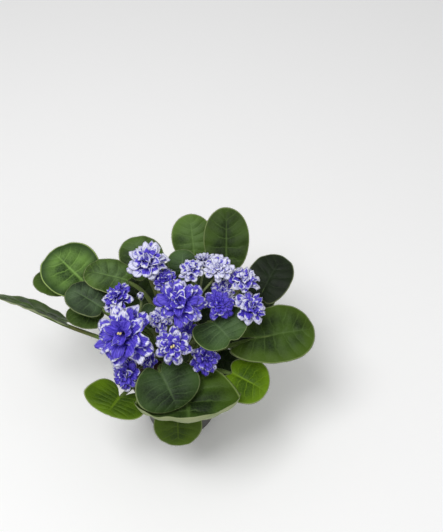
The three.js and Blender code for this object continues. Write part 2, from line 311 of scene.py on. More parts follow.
# %% [markdown]
# ## How a leaf or a petal is bent
# Both are thin sheets with a rounded outline. A sheet droops along its middle line and cups across it, and in both
# directions the bend grows steadily from the base. So one rule places every point of every leaf and petal, and the
# points keep the distance that they had when the sheet was flat. A leaf whose tip turns up turns up its whole front
# margin with it.

# %% The bending rule
CURL_STEPS = 10


def curl(distance, span, total):
    """Follows a line that bends by total (radians) over span: how far it gets, how high, and its slope there."""
    if distance <= 0:
        return distance, 0.0, 0.0
    along = rise = 0.0
    step = distance / CURL_STEPS
    for number in range(CURL_STEPS):
        slope = total * ((number + 0.5) * step / span) ** 2
        along += math.cos(slope) * step
        rise += math.sin(slope) * step
    return along, rise, total * (distance / span) ** 2


reach, rise, _ = curl(50, 50, math.radians(-30))
print("a 50 mm sheet that droops by 30 degrees reaches", round(reach, 1), "mm and sinks", -round(rise, 1), "mm")

# %% [markdown]
# A sheet's outline is two half ovals, a short one behind its centre and a long one in front. A lobed leaf's back
# half is longer, less a notch for the petiole, and a bite can be taken out of the tip.

# %% A leaf or a petal as a sheet
class Sheet:
    """A leaf blade or a petal: its base, the way it faces, its outline and its bend."""

    centre = 0.45
    bite_angle = math.radians(16)

    def __init__(self, at, turn, length, width, droop, cup, lobe=0.0, notch=16.0, bite=0.0, narrow=0.0):
        self.at, self.turn, self.length, self.width = Vector(at), turn, length, width
        self.droop, self.cup = math.radians(droop), math.radians(cup)
        self.lobe, self.notch, self.bite, self.narrow = lobe, math.radians(notch), bite, narrow
        self.upturned = droop < 0 < lobe

    def reach(self, angle):
        """How far the outline is from the sheet's centre."""
        share = 1 - self.centre if math.cos(angle) > 0 else self.centre + self.lobe
        oval = math.hypot(math.cos(angle) / (share * self.length), math.sin(angle) / (self.width / 2))
        depth = self.lobe / (self.centre + self.lobe)
        notched = 1 - depth * math.exp(-((math.pi - abs(angle)) / self.notch) ** 2)
        return notched * (1 - self.bite * math.exp(-(angle / self.bite_angle) ** 2)) / oval

    def flat(self, angle, share):
        """A point of the flat sheet, share of the way from its centre to its margin."""
        reach = self.reach(angle) * share
        forward = self.centre * self.length + reach * math.cos(angle)
        slim = 1 - self.narrow * (1 - min(max(forward / self.length, 0), 1)) ** 1.5
        return forward, reach * math.sin(angle) * slim

    def shares(self, forward, sideways):
        """The same point as shares of the sheet's length and of half its width."""
        return forward / self.length, sideways / (self.width / 2)

    def point(self, forward, sideways, up):
        """Where a point of the flat sheet is once the sheet is bent and in its place."""
        span = self.length
        if self.upturned:
            aside = min(abs(sideways) / (self.width / 2), 1)
            span *= self.centre + (1 - self.centre) * math.sqrt(1 - aside ** 2)
        along, rise, slope = curl(forward, span, -self.droop)
        across, lift, _ = curl(abs(sideways), self.width / 2, self.cup)
        lift += up
        forward, upward = along - lift * math.sin(slope), rise + lift * math.cos(slope)
        return self.turn @ Vector((forward, math.copysign(across, sideways), upward)) + self.at


def turned(heading, pitch, roll):
    """A sheet's turn in degrees: rolled about its midrib, then tipped up, then headed round the plant."""
    return Euler((math.radians(roll), math.radians(-pitch), math.radians(heading)), "XYZ").to_matrix()


def compass(heading, rise):
    """A direction round the plant, in degrees from +X, rising by so many degrees."""
    flat = math.cos(math.radians(rise))
    return Vector((flat * math.cos(math.radians(heading)), flat * math.sin(math.radians(heading)),
                   math.sin(math.radians(rise))))


sample = Sheet((0, 0, 0), turned(0, 0, 0), 50, 40, 0, 0)
print("a sheet 40 mm wide is", round(2 * sample.reach(math.pi / 2), 1), "mm across its centre")

# %% [markdown]
# ## Press a ball into a sheet
# A leaf or petal is thin, closed and round-edged, which is what a ball becomes when it is pressed flat. Its rings
# run from the middle of the sheet to the margin, so the outline, a wavy margin and a pale rim all follow a ring.
# Hundreds of sheets start from the same few balls, so each ball is made once and copied.

# %% Press a ball into a sheet
BALLS = {}


def flat_ball(drawing, segments, rings):
    """Yields each vertex of a ball with its angle, its share of the way to the margin, and its side, 1 or -1."""
    if (segments, rings) not in BALLS:
        ball = bmesh.new()
        bmesh.ops.create_uvsphere(ball, u_segments=segments, v_segments=rings, radius=1)
        BALLS[segments, rings] = finished_mesh(ball, f"ball_{segments}_{rings}")
    before = len(drawing.verts)
    drawing.from_mesh(BALLS[segments, rings])
    drawing.verts.ensure_lookup_table()
    for vertex in drawing.verts[before:]:
        x, y, z = vertex.co
        share = 1 - abs(math.asin(min(max(z, -1), 1))) / (math.pi / 2)
        yield vertex, math.atan2(y, x), share, (1 if z > 0 else -1)


def half_thickness(share, thickness):
    """Half a sheet's thickness: even over most of it, and rounded off at the margin."""
    return thickness / 2 * math.sqrt(max(1 - share ** 6, 0))


print("half a 1.2 mm sheet at its middle and near its margin:",
      [round(half_thickness(share, 1.2), 2) for share in (0, 0.95)])

# %% [markdown]
# ## The leaf's veins
# Side veins leave the midrib in pairs, the lowest ones swinging back into the lobes and the upper ones arching to
# the tip. One formula gives each place on the blade its number along this fan, and a vein lies at each whole
# number. The mesh uses it for the quilted relief, and the node group below uses it again for the colour.

# %% Veins as numbers
SIDE_VEINS = 6.5
VEIN_BACK = 0.34
VEIN_ARCH = 0.16
VEIN_SPREAD = 0.85


def vein_number(forward, sideways):
    """Where a place lies in the fan of side veins. Forward and sideways run from 0 to 1 over half the blade."""
    start = forward + VEIN_BACK * sideways - VEIN_ARCH * sideways ** 2
    return SIDE_VEINS * start / (1 + VEIN_SPREAD * sideways)


print("side veins in each half of a blade:", SIDE_VEINS)

# %% [markdown]
# The group draws three kinds of vein as masks: the midrib, which thins towards the tip, the side veins, which fade
# towards the margin and wander a little, and the fine net between them, which is the border between random cells.

# %% Veins as a node group
VEIN_LINE = 0.11
NET_SCALE, NET_LINE = 0.42, 0.16
MIDRIB_BASE, MIDRIB_TAPER = 0.085, -0.06

veins, source, result = new_group(
    "leaf_veins", {"Blade Place": None, "Flat Place": None, "Wander": 0.5}, ["Midrib", "Side Veins", "Net"]
)
blade = axes(veins, source["Blade Place"])
sideways = sums(veins, "ABSOLUTE", blade["Y"])
waver = clouds(veins, source["Flat Place"], 0.12)
shift = times(veins, sums(veins, "SUBTRACT", waver, 0.5), source["Wander"])
arch = times(veins, times(veins, sideways, sideways), VEIN_ARCH)
start = sums(veins, "SUBTRACT", times(veins, sideways, VEIN_BACK, blade["X"]), arch)
fan = sums(veins, "DIVIDE", start, times(veins, sideways, VEIN_SPREAD, 1.0))
number = sums(veins, "ADD", times(veins, fan, SIDE_VEINS), shift)
off_vein = sums(veins, "PINGPONG", number, 0.5)
side_line = times(veins, mask(veins, off_vein, VEIN_LINE, 0.0), mask(veins, sideways, 0.95, 0.35))
off_midrib = sums(veins, "DIVIDE", sideways, times(veins, blade["X"], MIDRIB_TAPER, MIDRIB_BASE))
midrib = times(veins, mask(veins, off_midrib, 1.0, 0.2), mask(veins, blade["X"], 1.0, 0.45))
net = mask(veins, dots(veins, source["Flat Place"], NET_SCALE, "DISTANCE_TO_EDGE"), NET_LINE, 0.0)
fill(veins, result, {"Midrib": midrib, "Side Veins": side_line, "Net": net})
print("vein masks:", [socket.name for socket in result.inputs if socket.name])

# %% [markdown]
# ## The leaf finish
# From the photograph: a dark, slightly grey green with lighter veins, a yellower green towards the margin that is
# partly the leaf's own colour and partly a painted glow, a thin pale rim that is a painted highlight of hairs catching
# the light, and a pale underside. Sheen on the shader stands for the coat of hairs seen at a low angle, and a painted
# sheen lays more pale grey over some leaves. One recipe makes three leaf finishes, because young, old and shaded
# leaves of the same plant differ only in their greens. The mesh carries each point's place on the blade, which side it
# is on, whether it is stem, and the leaf's look, which holds its painted light and shade.

# %% Leaf materials
LEAF_GREENS = {
    # slot: deep, light, towards the margin (partly painted glow), rim (a painted highlight), veins
    "leaf": ((26, 48, 6), (80, 112, 34), (92, 124, 6), (150, 178, 88), (104, 136, 62)),
    "leaf_dark": ((22, 42, 14), (70, 102, 46), (72, 108, 12), (136, 164, 90), (98, 128, 74)),
    "leaf_pale": ((50, 78, 0), (86, 118, 0), (104, 138, 0), (164, 186, 96), (112, 144, 24)),
}
UNDERSIDE = paint(150, 158, 116)
STEM_GREEN, STEM_BLUSH = paint(92, 112, 54), paint(96, 78, 48)
# a painted sheen: the pale grey-green that the coat of hairs shows in the light, laid over the green
PAINTED_HAIR_SHEEN = paint(128, 146, 124)
NET_SHOWS, SIDE_VEINS_SHOW, MIDRIB_SHOWS = 0.18, 0.5, 0.75
# the pale rim is a painted highlight, where the hairs and the thin margin catch the light
RIM_HIGHLIGHT_FROM, RIM_HIGHLIGHT_TO = 0.95, 0.98


def blade_colour(tree, greens, share, patches, ribs, look):
    """The upper side of a blade: patches, veins, a margin partly by its freshness and partly painted glow and shade, a
    painted highlight on the rim, a green lifted or lowered by painted light and shade, and a painted sheen of hairs.
    """
    deep, light, margin, rim, vein = greens
    fresh, tone_and_painted_light, painted_sheen = look["X"], look["Y"], look["Z"]
    # fresh above 0 gives a yellow-green margin, partly own colour and partly painted glow; below 0 it gives painted
    # shade
    edge = mask(tree, share, 0.45, 1.0)
    layers = [
        (times(tree, ribs["Net"], NET_SHOWS), vein),
        (times(tree, ribs["Side Veins"], SIDE_VEINS_SHOW), vein),
        (times(tree, edge, times(tree, fresh, 0.8, 0.15)), margin),  # the more, the yellower the margin: partly the leaf's own colour, partly a painted glow
        (times(tree, edge, times(tree, fresh, -1.0)), deep),  # only where fresh is below 0: painted shade darkens the margin
        (times(tree, ribs["Midrib"], MIDRIB_SHOWS), vein),
        # painted highlight along the rim
        (mask(tree, share, RIM_HIGHLIGHT_FROM, RIM_HIGHLIGHT_TO), rim),
    ]
    green = mix(tree, patches, deep, light)
    for shows, colour in layers:
        green = mix(tree, shows, green, colour)
    # painted light and shade: each leaf's green is lifted or lowered to how lit it is, besides its own darker or paler
    # green
    green = add(tree, "ShaderNodeHueSaturation", {"Color": green, "Value": tone_and_painted_light}).outputs["Color"]
    # painted sheen of lit hairs, strongest in the middle of the blade
    sheen_veil = times(tree, times(tree, patches, 0.8, 0.3), times(tree, edge, -0.7, 1.0))
    return mix(tree, times(tree, painted_sheen, sheen_veil), green, PAINTED_HAIR_SHEEN)


def leaf_material(name, greens):
    """A velvety leaf from its five greens."""
    material, tree, shader = new_material(name)
    blade_place, place = carried(tree, "blade_place"), body_place(tree)
    patches = place_group(tree, mottling, Place=place, Broad_Scale=46.0, Fine_Scale=210.0)["Mask"]
    ribs = place_group(tree, veins, Blade_Place=blade_place, Flat_Place=carried(tree, "flat_place"), Wander=0.7)
    velvet = place_group(tree, nap, Place=place, Hair_Scale=1500.0)
    look = axes(tree, carried(tree, "leaf_look_and_light"))

    upper = blade_colour(tree, greens, axes(tree, blade_place)["Z"], patches, ribs, look)
    lower = mix(tree, patches, UNDERSIDE, mix(tree, 0.35, UNDERSIDE, greens[1]))
    blade_green = mix(tree, carried(tree, "underside", "Fac"), upper, lower)
    blush = times(tree, mask(tree, clouds(tree, place, 35.0), 0.48, 0.72), 0.5)
    stem_green = mix(tree, blush, STEM_GREEN, STEM_BLUSH)
    relief = times(tree, velvet["Height"], 0.35, times(tree, ribs["Net"], -0.8))
    relief = times(tree, ribs["Side Veins"], -1.2, relief)
    fill(tree, shader, {
        "Base Color": mix(tree, carried(tree, "stem", "Fac"), blade_green, stem_green),
        "Roughness": times(tree, velvet["Gloss"], 0.25, 0.42), "Normal": bumps(tree, relief, 0.35, 0.0004),
        "Sheen Weight": 0.04, "Sheen Roughness": 0.45, "Sheen Tint": paint(205, 225, 190), "Specular IOR Level": 0.2,
    })
    return material


LEAF_FINISHES = {slot: leaf_material("velvet_" + slot, [paint(*green) for green in greens])
                 for slot, greens in LEAF_GREENS.items()}
print("leaf finishes:", sorted(LEAF_FINISHES))

# %% [markdown]
# ## Stems as bent rods
# A petiole or a flower stalk is a round rod that tapers and bends. It starts as a circle at the path's first point,
# and is extruded from point to point. Each new ring is turned square to the path and scaled to its radius.

# %% Bend a rod along a path
ROD_SIDES = 12


def smooth_path(corners, steps):
    """Points along the cubic curve that these four corners control."""
    points = []
    for number in range(steps + 1):
        t = number / steps
        weights = ((1 - t) ** 3, 3 * t * (1 - t) ** 2, 3 * t ** 2 * (1 - t), t ** 3)
        points.append(sum((corner * weight for corner, weight in zip(corners, weights)), Vector()))
    return points


def path_length(points):
    """How long a path is from its first point to its last."""
    return sum((after - before).length for before, after in zip(points, points[1:]))


def taper(first, last, steps):
    """Radii that change evenly from the first to the last."""
    return [first + (last - first) * n / steps for n in range(steps + 1)]


def frames_along(points):
    """A turn for each point of a path that faces along it and twists as little as it can."""
    ways = [(points[min(n + 1, len(points) - 1)] - points[max(n - 1, 0)]).normalized() for n in range(len(points))]
    turn = ways[0].to_track_quat("Z", "Y").to_matrix()
    turns = [turn]
    for before, after in zip(ways, ways[1:]):
        turn = before.rotation_difference(after).to_matrix() @ turn
        turns.append(turn)
    return turns


def bend_rod(drawing, points, radii, sides=ROD_SIDES):
    """Adds a rod of this many sides that follows the points. Returns its vertices with the number of their ring."""
    places = [Matrix.Translation(point) @ turn.to_4x4() @ Matrix.Scale(radius, 4)
              for point, turn, radius in zip(points, frames_along(points), radii)]
    ring = bmesh.ops.create_circle(drawing, cap_ends=True, segments=sides, radius=1, matrix=places[0])["verts"]
    rim = list(ring[0].link_faces[0].edges)
    placed = [(vertex, 0) for vertex in ring]
    for number in range(1, len(points)):
        grown = bmesh.ops.extrude_edge_only(drawing, edges=rim)["geom"]
        ring = [part for part in grown if isinstance(part, bmesh.types.BMVert)]
        rim = [part for part in grown if isinstance(part, bmesh.types.BMEdge)]
        bmesh.ops.transform(drawing, matrix=places[number] @ places[number - 1].inverted(), verts=ring)
        placed += [(vertex, number) for vertex in ring]
    bmesh.ops.edgeloop_fill(drawing, edges=rim)
    return placed


print("a rod from 2 mm down to 1 mm in four steps:", taper(2, 1, 4))

# %% [markdown]
# ## Hairs
# Petioles, stalks and leaf margins carry a fringe of short clear hairs that catches the light. Each one is a
# three-sided spike, which is enough for something a tenth of a millimetre thick. An operator looks through the
# whole mesh each time, so the spikes are made a tuft at a time in a drawing of their own.

# %% Grow hairs
HAIR_RADIUS, HAIR_TIP = 0.07, 0.01
HAIR_ROOT = 0.1
TUFT = 30


def grow_hairs(drawing, spikes):
    """Adds a spike for each (root, direction, length)."""
    for first in range(0, len(spikes), TUFT):
        tuft = bmesh.new()
        for root, way, length in spikes[first:first + TUFT]:
            place = Matrix.Translation(root + way * (length / 2)) @ way.to_track_quat("Z", "Y").to_matrix().to_4x4()
            bmesh.ops.create_cone(tuft, cap_ends=True, segments=3, radius1=HAIR_RADIUS, radius2=HAIR_TIP,
                                  depth=length, matrix=place)
        pour(tuft, drawing)


def rod_hairs(points, radii, hairs_per_mm, chance):
    """Hairs that stand out all round a rod, with their roots just under its skin."""
    turns, spikes = frames_along(points), []
    for n in range(len(points) - 1):
        gap = points[n + 1] - points[n]
        for _ in range(round(gap.length * hairs_per_mm)):
            share, angle = chance.random(), chance.uniform(0, math.tau)
            out = (turns[n] @ Vector((math.cos(angle), math.sin(angle), chance.uniform(-0.3, 0.4)))).normalized()
            spikes.append((points[n] + gap * share + out * (radii[n] - HAIR_ROOT), out, chance.uniform(0.8, 1.6)))
    return spikes


rod_end = Vector((0, 0, 10))
print("hairs on 10 mm of rod:", len(rod_hairs([Vector(), rod_end], [2, 2], 2.4, random.Random(0))))

# %% [markdown]
# ## The crown's shape
# Every petiole and stalk leaves the crown, a short thick stem that narrows as it rises. The same numbers as in the
# solid model say where each one starts, so the pieces meet the crown at the same places.

# %% Where stems leave the crown
CROWN_LOW, CROWN_TOP = 77, 99
CROWN_LOW_RADIUS, CROWN_TOP_RADIUS = 9.5, 7.0
CROWN_LEVELS = (80, 84.5, 89, 93.5)


def crown_radius(height):
    """How thick the crown is at this height."""
    share = min(max((height - CROWN_LOW) / (CROWN_TOP - CROWN_LOW), 0), 1)
    return CROWN_LOW_RADIUS + (CROWN_TOP_RADIUS - CROWN_LOW_RADIUS) * share


def crown_point(heading, height, sink):
    """A point sink millimetres inside the crown's skin."""
    return compass(heading, 0) * (crown_radius(height) - sink) + Vector((0, 0, height))


print("crown radius half way up:", crown_radius((CROWN_LOW + CROWN_TOP) / 2))

# %% [markdown]
# ## The leaves, one row each
# Each row says where the petiole meets the blade, how the blade is turned and bent, its size, its notch, and where
# its petiole leaves the crown. They are the solid model's own rows. The last three numbers are the leaf's look, and
# each holds painted light: how fresh its margin is (yellow-green above 0, partly its own colour and partly a painted
# glow; darkened by painted shade below 0), its brightness, partly its own green and partly painted light and shade
# (below 1 for the darker leaves), and how much painted sheen its hairs lay over it.

# %% Leaf rows
LEAVES = [
    # name, notch, heading pitch roll, droop cup, length width, lobe notch bite, crown heading and level, look (margin,
    # brightness, sheen: all partly painted light)
    ("leaf_left_rear_large", (-81, 54, 124), (140, 24, -6), (25, 14), (44, 53), (0.2, 16), (133, 1), (-1, 1.6, 0.12)),
    ("leaf_left_rear_inner", (-42, 50, 134), (168, 10, 0), (20, 10), (40, 36), (0.17, 16), (124, 2), (0.1, 0.95, 0.2)),
    ("leaf_left_middle", (-63, 26, 128), (150, 12, 0), (20, 12), (36, 34), (0.17, 16), (150, 2), (-0.3, 0.66, 0.25)),
    ("leaf_left_small", (-66, 22, 115), (166, 6, -6), (15, 10), (31, 24), (0.17, 16), (160, 1), (0.2, 0.6, 0)),
    ("leaf_left_folded", (-96, 22.5, 110), (166, 20, 50), (0, 30), (64.5, 46), (0.17, 16), (171, 0), (0, 0.6, 0)),
    ("leaf_left_outer", (-101, 57.5, 112), (155, 8, 0), (15, 12), (32, 28), (0.17, 16), (150, 0), (0.1, 0.6, 0)),
    ("leaf_young_left", (-17, 1, 136), (108, 20, 0), (20, 20), (22, 15), (0.17, 16), (165, 3), (0.1, 0.7, 0.1)),
    ("leaf_rear_small", (4, 59, 133), (88, 32, 0), (20, 15), (22, 26), (0.17, 16), (90, 2), (0.1, 0.75, 0.1)),
    ("leaf_rear_left", (-26, 66, 122), (115, 22, 0), (20, 15), (40, 40), (0.17, 16), (108, 1), (0.1, 0.7, 0.15)),
    ("leaf_rear_round", (14, 86, 124), (98, 42, 0), (10, 16), (38, 38), (0.17, 16), (82, 1), (0.1, 0.9, 0.12)),
    ("leaf_rear_tall", (43, 72, 128), (90, 38, 0), (10, 20), (52, 41), (0.17, 16), (58, 1), (0.1, 0.48, 0)),
    ("leaf_right_rear", (72, 42, 122), (60, 20, 0), (20, 16), (44, 40), (0.17, 16), (34, 1), (0.1, 0.14, 0)),
    ("leaf_right_shaded", (42, 12, 99), (22, 6, 0), (15, 12), (46, 30), (0.17, 16), (18, 0), (0.1, 0.35, 0)),
    ("leaf_right_large", (68, 2, 118), (8, 6, 8), (12, 10), (50, 53), (0.55, 5), (0, 1), (0.6, 0.54, 0)),
    ("leaf_right_inner", (32, 2, 142), (308, 4, 2), (20, 34), (26, 50), (0.5, 30, 0.25), (345, 3), (0.1, 0.72, 0.1)),
    ("leaf_front_right_pale", (47, -22, 101), (332, -3, 0), (20, 10), (34, 44), (0.2, 16), (328, 0), (0.7, 1, 0)),
    ("leaf_front_broad", (10, -34, 102), (274, -5, 0), (-105, 12), (55, 87), (0.38, 16), (286, 1), (0.4, 0.6, 0)),
    ("leaf_front_dark", (-11, -33, 121), (299, -16, -2), (15, 10), (33, 55), (0.3, 12), (250, 3), (0.3, 0.55, 0.06)),
    ("leaf_front_left", (-46, -42, 96), (245, 16, 0), (10, 25), (21, 56), (1.05, 26), (224, 1), (0.3, 0.85, 0)),
    ("leaf_front_low", (2, -50, 90), (272, -40, 0), (20, -16), (32, 41), (0.17, 16), (262, 0), (0.4, 0.46, 0)),
    ("leaf_rear_low", (2, 50, 98), (92, 6, 0), (15, 12), (54, 44), (0.17, 16), (94, 0), (0.1, 0.4, 0)),
    ("leaf_rear_right_low", (56, 44, 103), (38, 6, 0), (15, 12), (35, 38), (0.17, 16), (44, 0), (0.1, 0.4, 0)),
    ("leaf_rear_left_low", (-25, 37, 97), (119, 4, 0), (15, 12), (55, 42), (0.17, 16), (126, 0), (0.1, 0.4, 0)),
    ("leaf_young_front", (5, -12, 112), (290, 40, 0), (20, 20), (14, 12), (0.17, 16), (288, 3), (0.1, 0.6, 0.1)),
    ("leaf_young_rear", (2, 16, 113), (80, 40, 0), (20, 20), (15, 12), (0.17, 16), (86, 3), (0.1, 0.6, 0.1)),
    ("leaf_inner_rear", (22, 38, 124), (56, 6, 0), (15, 12), (32, 30), (0.17, 16), (42, 3), (0.1, 0.3, 0)),
    ("leaf_inner_right_rear", (24, 20, 109), (46, 4, 0), (15, 12), (29, 28), (0.17, 16), (30, 2), (0.1, 0.3, 0)),
    ("leaf_inner_rear_left", (-25, 24, 105.5), (120, 0, 0), (15, 12), (13, 15), (0.17, 16), (142, 3), (0.1, 0.3, 0)),
    ("leaf_inner_right", (27, -2.5, 90), (354, 2, 0), (15, 12), (29, 25), (0.17, 16), (338, 2), (0.1, 0.25, 0)),
]
print(len(LEAVES), "leaves")

# %% [markdown]
# ## The relief of a blade
# Between the veins a blade is pushed up a little, above and below alike, which gives the quilted look. Its relief
# has four parts: pillows between the side veins, a groove along the midrib, a slow wave of the whole blade, and the
# ripple of its margin. A small leaf has a lower relief than a large one.

# %% The relief of a blade
BLADE_THICKNESS = 1.2
RELIEF_SIZE = 40
PILLOW_HEIGHT = 1.05
GROOVE_DEPTH, GROOVE_WIDTH = 0.7, 1.3
WAVE_HEIGHT, WAVE_LENGTH = 1.1, 16
RIPPLE_HEIGHT = 0.35
CORRUGATED = {"leaf_left_rear_inner": 2.4, "leaf_right_large": 1.3, "leaf_left_rear_large": 1.3}


def blade_relief(sheet, forward, sideways, share, angle, seed, quilt):
    """How far a place on the blade is lifted from an even sheet. Quilt is how strongly it is corrugated."""
    along, across = sheet.shares(forward, abs(sideways))
    phase = vein_number(along, across) % 1
    pillow = math.sin(math.pi * phase) ** 0.8 * (1 - share ** 4) * min(across * 6, 1)
    groove = math.exp(-(sideways / GROOVE_WIDTH) ** 2) * max(1 - along, 0) * (1 - share ** 6)
    wave = noise.noise(Vector((forward / WAVE_LENGTH, sideways / WAVE_LENGTH, seed)))
    ripple = math.sin(8 * angle + seed) + 0.6 * math.sin(13 * angle + 2.3 * seed)
    lift = PILLOW_HEIGHT * quilt * pillow - GROOVE_DEPTH * groove + WAVE_HEIGHT * wave
    lift += RIPPLE_HEIGHT * ripple * share ** 4
    return lift * min(sheet.length, sheet.width) / RELIEF_SIZE


print("pillows stand up to", PILLOW_HEIGHT, "mm high on a blade", RELIEF_SIZE, "mm wide")

# %% [markdown]
# ## The petiole
# The petiole leaves the crown rising at 30 degrees, bends over and arrives under the blade in line with it. It then
# carries on as a rib on the blade's underside, which thins towards the tip and is half sunk in the blade.

# %% The path of a petiole
PETIOLE_THICK, PETIOLE_THIN = 2.1, 1.7
PETIOLE_RISE = 30
PETIOLE_SINK = 1.5
PETIOLE_STEPS = 16
PETIOLE_MEETS = 2
RIB_STEPS = 8
RIB_SINK = 0.85
RIB_LENGTH = 0.75


def petiole_path(sheet, heading, height):
    """The points and radii of a petiole, from inside the crown to the blade and on under it as its rib."""
    start = crown_point(heading, height, PETIOLE_SINK)
    drop = -BLADE_THICKNESS / 2 - PETIOLE_THIN * RIB_SINK
    end = sheet.point(PETIOLE_MEETS, 0, drop)
    reach = 0.35 * (end - start).length
    out = start + compass(heading, PETIOLE_RISE) * reach
    back = sheet.point(PETIOLE_MEETS - reach, 0, drop)
    points = smooth_path([start, out, back, end], PETIOLE_STEPS)
    radii = taper(PETIOLE_THICK, PETIOLE_THIN, PETIOLE_STEPS)
    for n in range(1, RIB_STEPS + 1):
        share = n / RIB_STEPS
        radii.append(PETIOLE_THIN * (1 - 0.8 * share))
        drop = -BLADE_THICKNESS / 2 - radii[-1] * RIB_SINK
        points.append(sheet.point(PETIOLE_MEETS + share * RIB_LENGTH * sheet.length, 0, drop))
    return points, radii


print("a petiole narrows from", 2 * PETIOLE_THICK, "to", 2 * PETIOLE_THIN, "mm across")

# %% [markdown]
# ## Grow every leaf
# A leaf is one piece: the blade, its petiole and rib, and the hairs along the petiole and the margin. Each point
# stores its place on the flat blade for the finish.

# %% Grow a leaf
RING_GAP = 1.1
HAIRS_PER_MM = 2.4


def margin_hairs(sheet, seed, quilt, chance):
    """The fringe of hairs round a blade's margin."""
    spikes = []
    around = round(sheet.width + sheet.length) * 2
    for number in range(around):
        angle = (number + chance.random()) / around * math.tau - math.pi
        forward, sideways = sheet.flat(angle, 1.0)
        root = sheet.point(forward, sideways, blade_relief(sheet, forward, sideways, 1.0, angle, seed, quilt))
        outer = sheet.point(*sheet.flat(angle, 1.1), chance.uniform(-1, 2))
        spikes.append((root, (outer - root).normalized(), chance.uniform(0.6, 1.2)))
    return spikes


def new_layers(drawing, kind, *names):
    """Attributes of this kind that every point of the mesh will carry."""
    return [getattr(drawing.verts.layers, kind).new(name) for name in names]


def grow_leaf(row):
    """Builds one leaf from its row and returns how many faces it has."""
    name, notch_point, turn, bend, size, outline, (heading, level), look = row
    chance = random.Random(name)
    seed, quilt = chance.uniform(0, 100), CORRUGATED.get(name, 1)
    sheet = Sheet(notch_point, turned(*turn), *size, *bend, *outline)
    leaf = bmesh.new()
    blade_place, flat_place, leaf_look_and_light = new_layers(leaf, "float_vector", "blade_place", "flat_place", "leaf_look_and_light")
    underside, stem = new_layers(leaf, "float", "underside", "stem")

    # An even number of rings gives the ball an equator, which is the margin. Leaves of about one size share a ball.
    rings = 2 * max(10, round(max(size) / 2 / RING_GAP))
    segments = 8 * max(6, round(sum(size) / 2 * math.pi / RING_GAP / 8))
    for vertex, angle, share, side in flat_ball(leaf, segments, rings):
        forward, sideways = sheet.flat(angle, share)
        up = side * half_thickness(share, BLADE_THICKNESS)
        up += blade_relief(sheet, forward, sideways, share, angle, seed, quilt)
        vertex.co = sheet.point(forward, sideways, up)
        vertex[blade_place] = (*sheet.shares(forward, sideways), share)
        vertex[flat_place] = (forward, sideways, seed)
        vertex[underside] = 1 if side < 0 else 0

    points, radii = petiole_path(sheet, heading, CROWN_LEVELS[level])
    before = len(leaf.verts)
    bend_rod(leaf, points, radii)
    grow_hairs(leaf, rod_hairs(points[:PETIOLE_STEPS], radii, HAIRS_PER_MM, chance)
               + margin_hairs(sheet, seed, quilt, chance))
    leaf.verts.ensure_lookup_table()
    for vertex in leaf.verts[before:]:
        vertex[stem] = 1
    for vertex in leaf.verts:
        vertex[leaf_look_and_light] = look
    return len(make_piece(leaf, name + "_grown", [LEAF_FINISHES[SLOTS[name]]], name).data.polygons)


print("leaf faces in all:", sum(grow_leaf(row) for row in LEAVES))

# %% [markdown]
# ## Flower stalks
# Each stalk leaves the crown between the petioles and forks into pedicels, one for each flower or bud. Stalks are
# paler than petioles, with a brownish blush and the same hairs, so their finish reuses the nap and the mottling.

# %% The stalk finish
def stem_material(name, pale, deep, blush_colour):
    """A hairy stem: a pale green with deeper patches and a blush."""
    material, tree, shader = new_material(name)
    place = body_place(tree)
    patches = place_group(tree, mottling, Place=place, Broad_Scale=90.0, Fine_Scale=500.0)["Mask"]
    velvet = place_group(tree, nap, Place=place, Hair_Scale=1800.0)
    blush = times(tree, mask(tree, clouds(tree, place, 40.0), 0.45, 0.7), 0.6)
    fill(tree, shader, {
        "Base Color": mix(tree, blush, mix(tree, patches, pale, deep), blush_colour),
        "Roughness": times(tree, velvet["Gloss"], 0.25, 0.4),
        "Normal": bumps(tree, velvet["Height"], 0.3, 0.0003),
        "Sheen Weight": 0.15, "Sheen Roughness": 0.4, "Sheen Tint": paint(225, 232, 210),
    })
    return material


STALK_FINISH = stem_material("hairy_stalk", paint(126, 140, 84), paint(88, 106, 54), paint(104, 78, 54))
print("stalk finish:", STALK_FINISH.name)

# %% [markdown]
# ## Stalk, flower and bud rows
# A stalk row says where it leaves the crown and where it forks. A flower row says where its middle is, which way it
# faces, its radius and its stalk, and how white it is, as the photograph shows: some flowers are almost white,
# others a plain blue-violet with white tips. A stalk is named by its place in the list of stalks, from 0.

